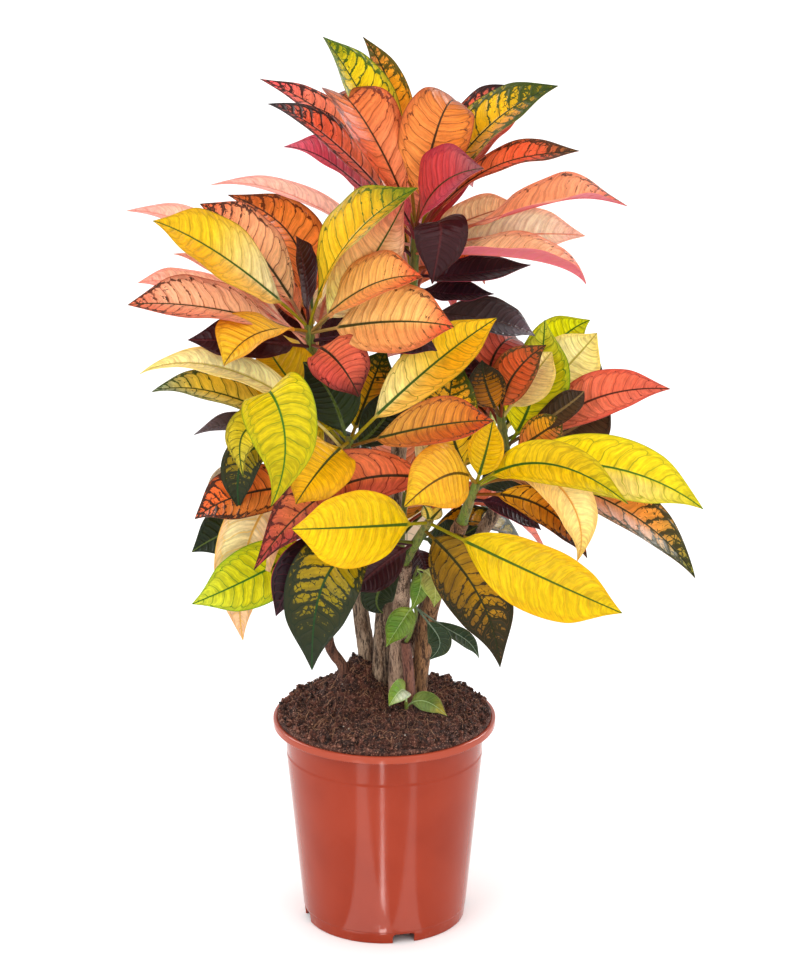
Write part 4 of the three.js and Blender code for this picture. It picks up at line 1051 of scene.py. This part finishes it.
def growLeaf(shell, draw, points, wide, roll, fold, look, stalk=leafForm["stalk"], form=leafForm, slot=0):
    spots, along, sides = midrib(points, roll)
    faces, gone = np.cross(along, sides), distancesAlong(spots)
    share = (np.linspace(0, 1, len(spots)) * leafForm["samples"] - stalk) / (leafForm["samples"] - stalk)
    # a little of its own: a twist towards the tip and waves along the margins
    twist = np.radians(draw.uniform(-1, 1) * leafForm["twist"]) * smooth(leafForm["twistStart"], 1, share)
    turn, lean = np.cos(twist)[:, None], np.sin(twist)[:, None]
    sides, faces = sides * turn + faces * lean, faces * turn - sides * lean
    waves = [(draw.uniform(*leafForm["waves"]), draw.uniform(0, 2 * math.pi)) for margin in range(2)]
    x, c, flat, above, below = bladeSections(share, wide, fold, waves, form)
    middle = spots[:, None] + sides[:, None] * flat[..., None]
    above, below = (middle + faces[:, None] * height[..., None] for height in (above, below))
    # each ring goes over the upper face and back along the underside
    ring = np.concatenate([above, below[:, ::-1]], 1)
    x, c = (np.concatenate([values, values[:, ::-1]], 1) for values in (x, c))
    under = np.repeat([0.0, 1.0], c.shape[1] // 2) + 0 * c
    s, gone = share[:, None] + 0 * c, gone[:, None] + 0 * c
    # painted shade: how far each point lies on the half of the blade that faces the ground
    shadedHalf = smooth(-0.12, 0.3, -c * (sides @ skyward)[:, None])
    place = np.stack([x, gone, np.full(c.shape, draw.uniform(0, 1000))], -1).reshape(-1, 3)
    *tones, marks, lines = leafLooks[look].split()
    colours = leafColours(draw, tones, c[..., None], s[..., None], shadedHalf[..., None])
    bladeLength = gone[-1, 0] * (1 - stalk / leafForm["samples"])
    shell.add(ring, gridFaces(*c.shape), slot, place=place,
              share=np.stack([c, np.clip(s, -1, 1), under], -1).reshape(-1, 3),
              marks=np.broadcast_to([float(marks), float(lines), bladeLength], (c.size, 3)), **colours)


leafNetUse = {"Vein Pairs": 12.5, "Rib Width": 2.1, "Cell Size": 5.5}
leafGlow = {"Subsurface Weight": 0.3, "Subsurface Radius": (1.0, 0.7, 0.4), "Subsurface Scale": 0.0015}


def leafMaterial(name, gloss, shine, net):
    material, tree = newMaterial(name, {"IOR": 1.45, "Specular IOR Level": shine, **leafGlow})
    flesh, rib, veins, dark, back = (put(tree, "Attribute", give="Color", attribute_name=key)
                                     for key in ("flesh", "rib", "veins", "dark", "back"))
    place, share, marks = (put(tree, "Attribute", give="Vector", attribute_name=key)
                           for key in ("place", "share", "marks"))
    across, along, under = split(share)
    amount, lines, length = split(marks)
    net = useGroup(tree, leafNet, {"Place": place, "Share": share, "Length": length, **net})
    side, clouds, streaks = abs(across), net["Clouds"], net["Streaks"]
    # uneven flesh: lighter cells between the veins, partly a painted highlight on the swellings there, and
    # cloudy patches along the blade
    light = clouds.ramp(0.3, 0.7, 0.93, 1.06) * streaks.ramp(0.34, 0.66, 0.8, 1.13)
    # painted highlight: the flesh is lighter away from the veins, where the blade swells
    light = light * net["Vein Gap"].ramp(0.0, 0.3, 0.93, 1.04)
    surface = put(tree, "VectorMath", {0: flesh, "Scale": light}, operation="SCALE")
    # dark marks gather along the net, near the tip and the margin
    reach = side.ramp(0.55, 1.0) * 0.5 + (along.ramp(0.35, 1.0) * 0.95 + 0.3)
    level = amount * reach + (streaks * 0.6 + (clouds * 1.2 - 0.4))
    shown = amount.ramp(0.0, 0.2)
    veinMarks = ((level.ramp(0.62, 1.2) * (shown * 0.27) - net["Vein Gap"]) * 26.0).clamped()
    cellMarks = ((level.ramp(0.74, 1.25) * (shown * 0.15) - net["Cell Gap"]) * 22.0).clamped()
    darkness = veinMarks.reckon("MAXIMUM", cellMarks).reckon("MAXIMUM", level.ramp(1.14, 1.32))
    surface = (darkness * 0.92).blend(surface, dark)
    surface = (net["Veins"] * lines * 0.95).blend(surface, veins)
    surface = (side.ramp(0.955, 0.99) * along.ramp(0.02, 0.3, 0.0, 0.75)).blend(surface, veins)
    surface = (net["Rib"] * 0.95).blend(surface, rib)
    # the underside is paler, with raised veins
    pale = (net["Veins"] * 0.35).blend(back, veins)
    pale = (net["Rib"] * 0.5).blend(pale, rib)
    pale = along.ramp(0.0, -0.02).blend(pale, flesh)
    rough = under * 0.14 + (clouds * 0.16 + gloss)
    dress(tree, under.blend(surface, pale), rough, net["Relief"], 0.75, 0.6)
    return material


leafSurface = leafMaterial("croton leaf", 0.3, 0.2, leafNetUse)
darkSurface = leafMaterial("dark croton leaf", 0.24, 0.28, {**leafNetUse, "Rib Width": 2.4})
youngSurface = leafMaterial("young leaf", 0.28, 0.3, {"Vein Pairs": 8.0, "Rib Width": 0.9, "Cell Size": 2.5})


def farLeaves(name, far, index):
    growth = at(stems[name]["growth"])
    down = at(stems[name]["foot"]) - growth
    draws = drawsFrom(farLeaf["firstSeed"] + index)

    def between(least, extra):
        return least + extra * next(draws)

    for i in range(far["count"]):
        share = (i + 0.5) / far["count"]
        turn = math.radians(mix(*far["turns"], (i * farLeaf["goldenShare"] + farLeaf["firstTurn"]) % 1))
        spread = farLeaf["riseSpread"] * (next(draws) - 0.5)
        rise = mix(far["rises"][1], far["rises"][0], share) + spread
        reach, wide, droop = between(*farLeaf["reach"]), between(*farLeaf["wide"]), between(*farLeaf["droop"])
        root = growth + down * min(mix(*far["roots"], share) / np.linalg.norm(down), 1)

        def out(length, angle):
            flat, up = length * math.cos(math.radians(angle)), length * math.sin(math.radians(angle))
            return root + np.array([math.cos(turn) * flat, math.sin(turn) * flat, up])

        points = [root, out(reach * farLeaf["bendAt"], rise), out(reach * farLeaf["tipAt"], rise - droop)]
        look = far["looks"][i % len(far["looks"])]
        yield points, wide, levelRoll(points) * farLeaf["levelling"], farLeaf["fold"], look


def makeCrown(index, name, crown):
    draw = np.random.RandomState(101 + index)
    growth, foot = at(stems[name]["growth"]), at(stems[name]["foot"])
    down = foot - growth
    shell = Shell()
    for below, places, wide, roll, fold, look, *stalk in crown["leaves"]:
        root = growth + down * min(below / np.linalg.norm(down), 1)
        slot = 2 * (look in darkLooks)
        growLeaf(shell, draw, [root, *map(at, places)], wide, roll, fold, look, *stalk, slot=slot)
    for leaf in farLeaves(name, crown["far"], index) if "far" in crown else ():
        growLeaf(shell, draw, *leaf, slot=2 * (leaf[-1] in darkLooks))
    addTube(shell, [foot, growth], wood["shootRadii"], wood["shootRings"], wood["shootSides"], slot=1,
            relief=barkRelief(71 + index, strength=wood["shootStrength"]))
    materials = [leafSurface, shootBark, darkSurface]
    settle(shell.piece("leaves_" + name, materials, sharp=50), "leaf", "crown_" + name)


def makeSmallShoot(name, shoot, route, node, seed):
    draw = np.random.RandomState(seed)
    shell = Shell()
    for share, places, wide, roll, fold, look, *stalk in shoot["leaves"]:
        points = [easyCurve(route, [share])[0], *map(at, places)]
        growLeaf(shell, draw, points, wide, roll, fold, look, *stalk, form=shoot)
    addTube(shell, route, shoot["radii"], smallShoot["rings"], smallShoot["sides"], slot=1,
            relief=barkRelief(seed, strength=smallShoot["strength"]))
    settle(shell.piece(name, [youngSurface, shootBark], sharp=50), "young_leaf", node)


for index, (name, crown) in enumerate(crowns.items()):
    makeCrown(index, name, crown)
print("crowns done")

youngRoute = [at(stub["top"]) + skyward * youngShoot["startsAbove"], *map(at, youngShoot["route"])]
makeSmallShoot("young_twig", youngShoot, youngRoute, "young_shoot", 211)
makeSmallShoot("little_sprout", basalSprout, [at(p) for p in basalSprout["route"]], "basal_sprout", 223)
print("young shoots done")

# The pale floor, the soft studio light and the camera
studio = {
    "floorSize": 60000, "floorColours": ("ffffff", "fcfcfc"),
    "world": 1.3, "gamma": 0.9, "lookAt": (0, 0, 380),
    # name, turn from the camera's side and height in degrees, distance, width, height in mm, watts
    "lights": (("key", -36, 34, 3200, 1500, 1500, 20), ("fill", 30, 22, 3300, 1700, 1700, 14)),
    # cards on the floor, which only the glossy wall of the pot mirrors: place across it, width, brightness
    "cards": ((-21.5, 72, 1.9), (-21.5, 40, 2.3), (-2, 10, 12.0), (-2, 26, 1.5),
              (28, 44, 1.6), (28, 20, 2.4)),
    "cardLength": 520, "wallRadius": 92,
    # panels that only glossy leaves mirror: turn, height, distance, size, brightness
    "panels": ((122, 32, 2600, 1100, 16), (-118, 34, 2600, 1100, 10)),
}


def addLight(name, place, aim, wide, tall, watts, onlyMirrored=False):
    data = bpy.data.lights.new(name, "AREA")
    data.shape, data.size, data.size_y, data.energy = "RECTANGLE", wide * mm, tall * mm, watts
    lamp = bpy.data.objects.new(name, data)
    lamp.location, lamp.rotation_mode, lamp.rotation_quaternion = place, "QUATERNION", aim
    lamp.visible_camera = lamp.visible_diffuse = lamp.visible_transmission = not onlyMirrored
    bpy.context.scene.collection.objects.link(lamp)


def facingPlant(turn, height, distance):  # a place round the plant, and the aim from there to its middle
    a, b = math.radians(turn), math.radians(height)
    back = Vector((math.sin(a) * math.cos(b), -math.cos(a) * math.cos(b), math.sin(b)))
    return Vector(studio["lookAt"]) * mm + back * distance * mm, back.to_track_quat("Z", "Y")


def lightPower(brightness, wide, tall):
    return brightness * math.pi * wide * tall * mm * mm


def makeFloor():
    size = studio["floorSize"] / 2
    shell = Shell()
    shell.add([(-size, -size, 0), (size, -size, 0), (size, size, 0), (-size, size, 0)], [[0, 1, 2, 3]])
    material, tree = newMaterial("pale floor", {"Roughness": 0.8})
    patches, grain = unevenly(placeIn(tree), 3.0, 300.0)
    base = patches.blend(*map(colour, studio["floorColours"]))
    feed(tree, tree.nodes["Principled BSDF"].inputs["Base Color"], base)
    shell.piece("floor", [material])


def makeLights():
    world = bpy.data.worlds.new("studio")
    world.use_nodes = True
    background = world.node_tree.nodes["Background"]
    background.inputs["Color"].default_value = (1, 1, 1, 1)
    background.inputs["Strength"].default_value = studio["world"]
    bpy.context.scene.world = world
    for name, turn, height, distance, wide, tall, watts in studio["lights"]:
        addLight(name, *facingPlant(turn, height, distance), wide, tall, watts)
    for i, (across, width, bright) in enumerate(studio["cards"]):
        turn, length = math.asin(across / studio["wallRadius"]), studio["cardLength"]
        foot = Vector((across, -studio["wallRadius"] * math.cos(turn), 1))
        middle = foot + Vector((math.sin(2 * turn), -math.cos(2 * turn), 0)) * length / 2
        aim = Quaternion((0, 0, 1), 2 * turn) @ Quaternion((1, 0, 0), math.pi)
        addLight("card_" + str(i), middle * mm, aim, width, length, lightPower(bright, width, length), True)
    for i, (turn, height, distance, size, bright) in enumerate(studio["panels"]):
        watts = lightPower(bright, size, size)
        addLight("panel_" + str(i), *facingPlant(turn, height, distance), size, size, watts, True)


def makeCamera():
    data = bpy.data.cameras.new("camera")
    data.sensor_width = photoView["sensor"]
    data.lens = photoView["focal"] / photoView["longSide"] * data.sensor_width
    data.clip_start, data.clip_end = photoView["clip"]
    camera = bpy.data.objects.new("camera", data)
    camera.location = Vector(eye * mm)
    camera.rotation_euler = (math.radians(90 - photoView["pitch"]), 0, 0)
    bpy.context.scene.collection.objects.link(camera)
    bpy.context.scene.camera = camera


makeFloor()
makeLights()
makeCamera()
look = bpy.context.scene.view_settings
look.view_transform, look.look, look.gamma = "Standard", "None", studio["gamma"]
print("studio done")
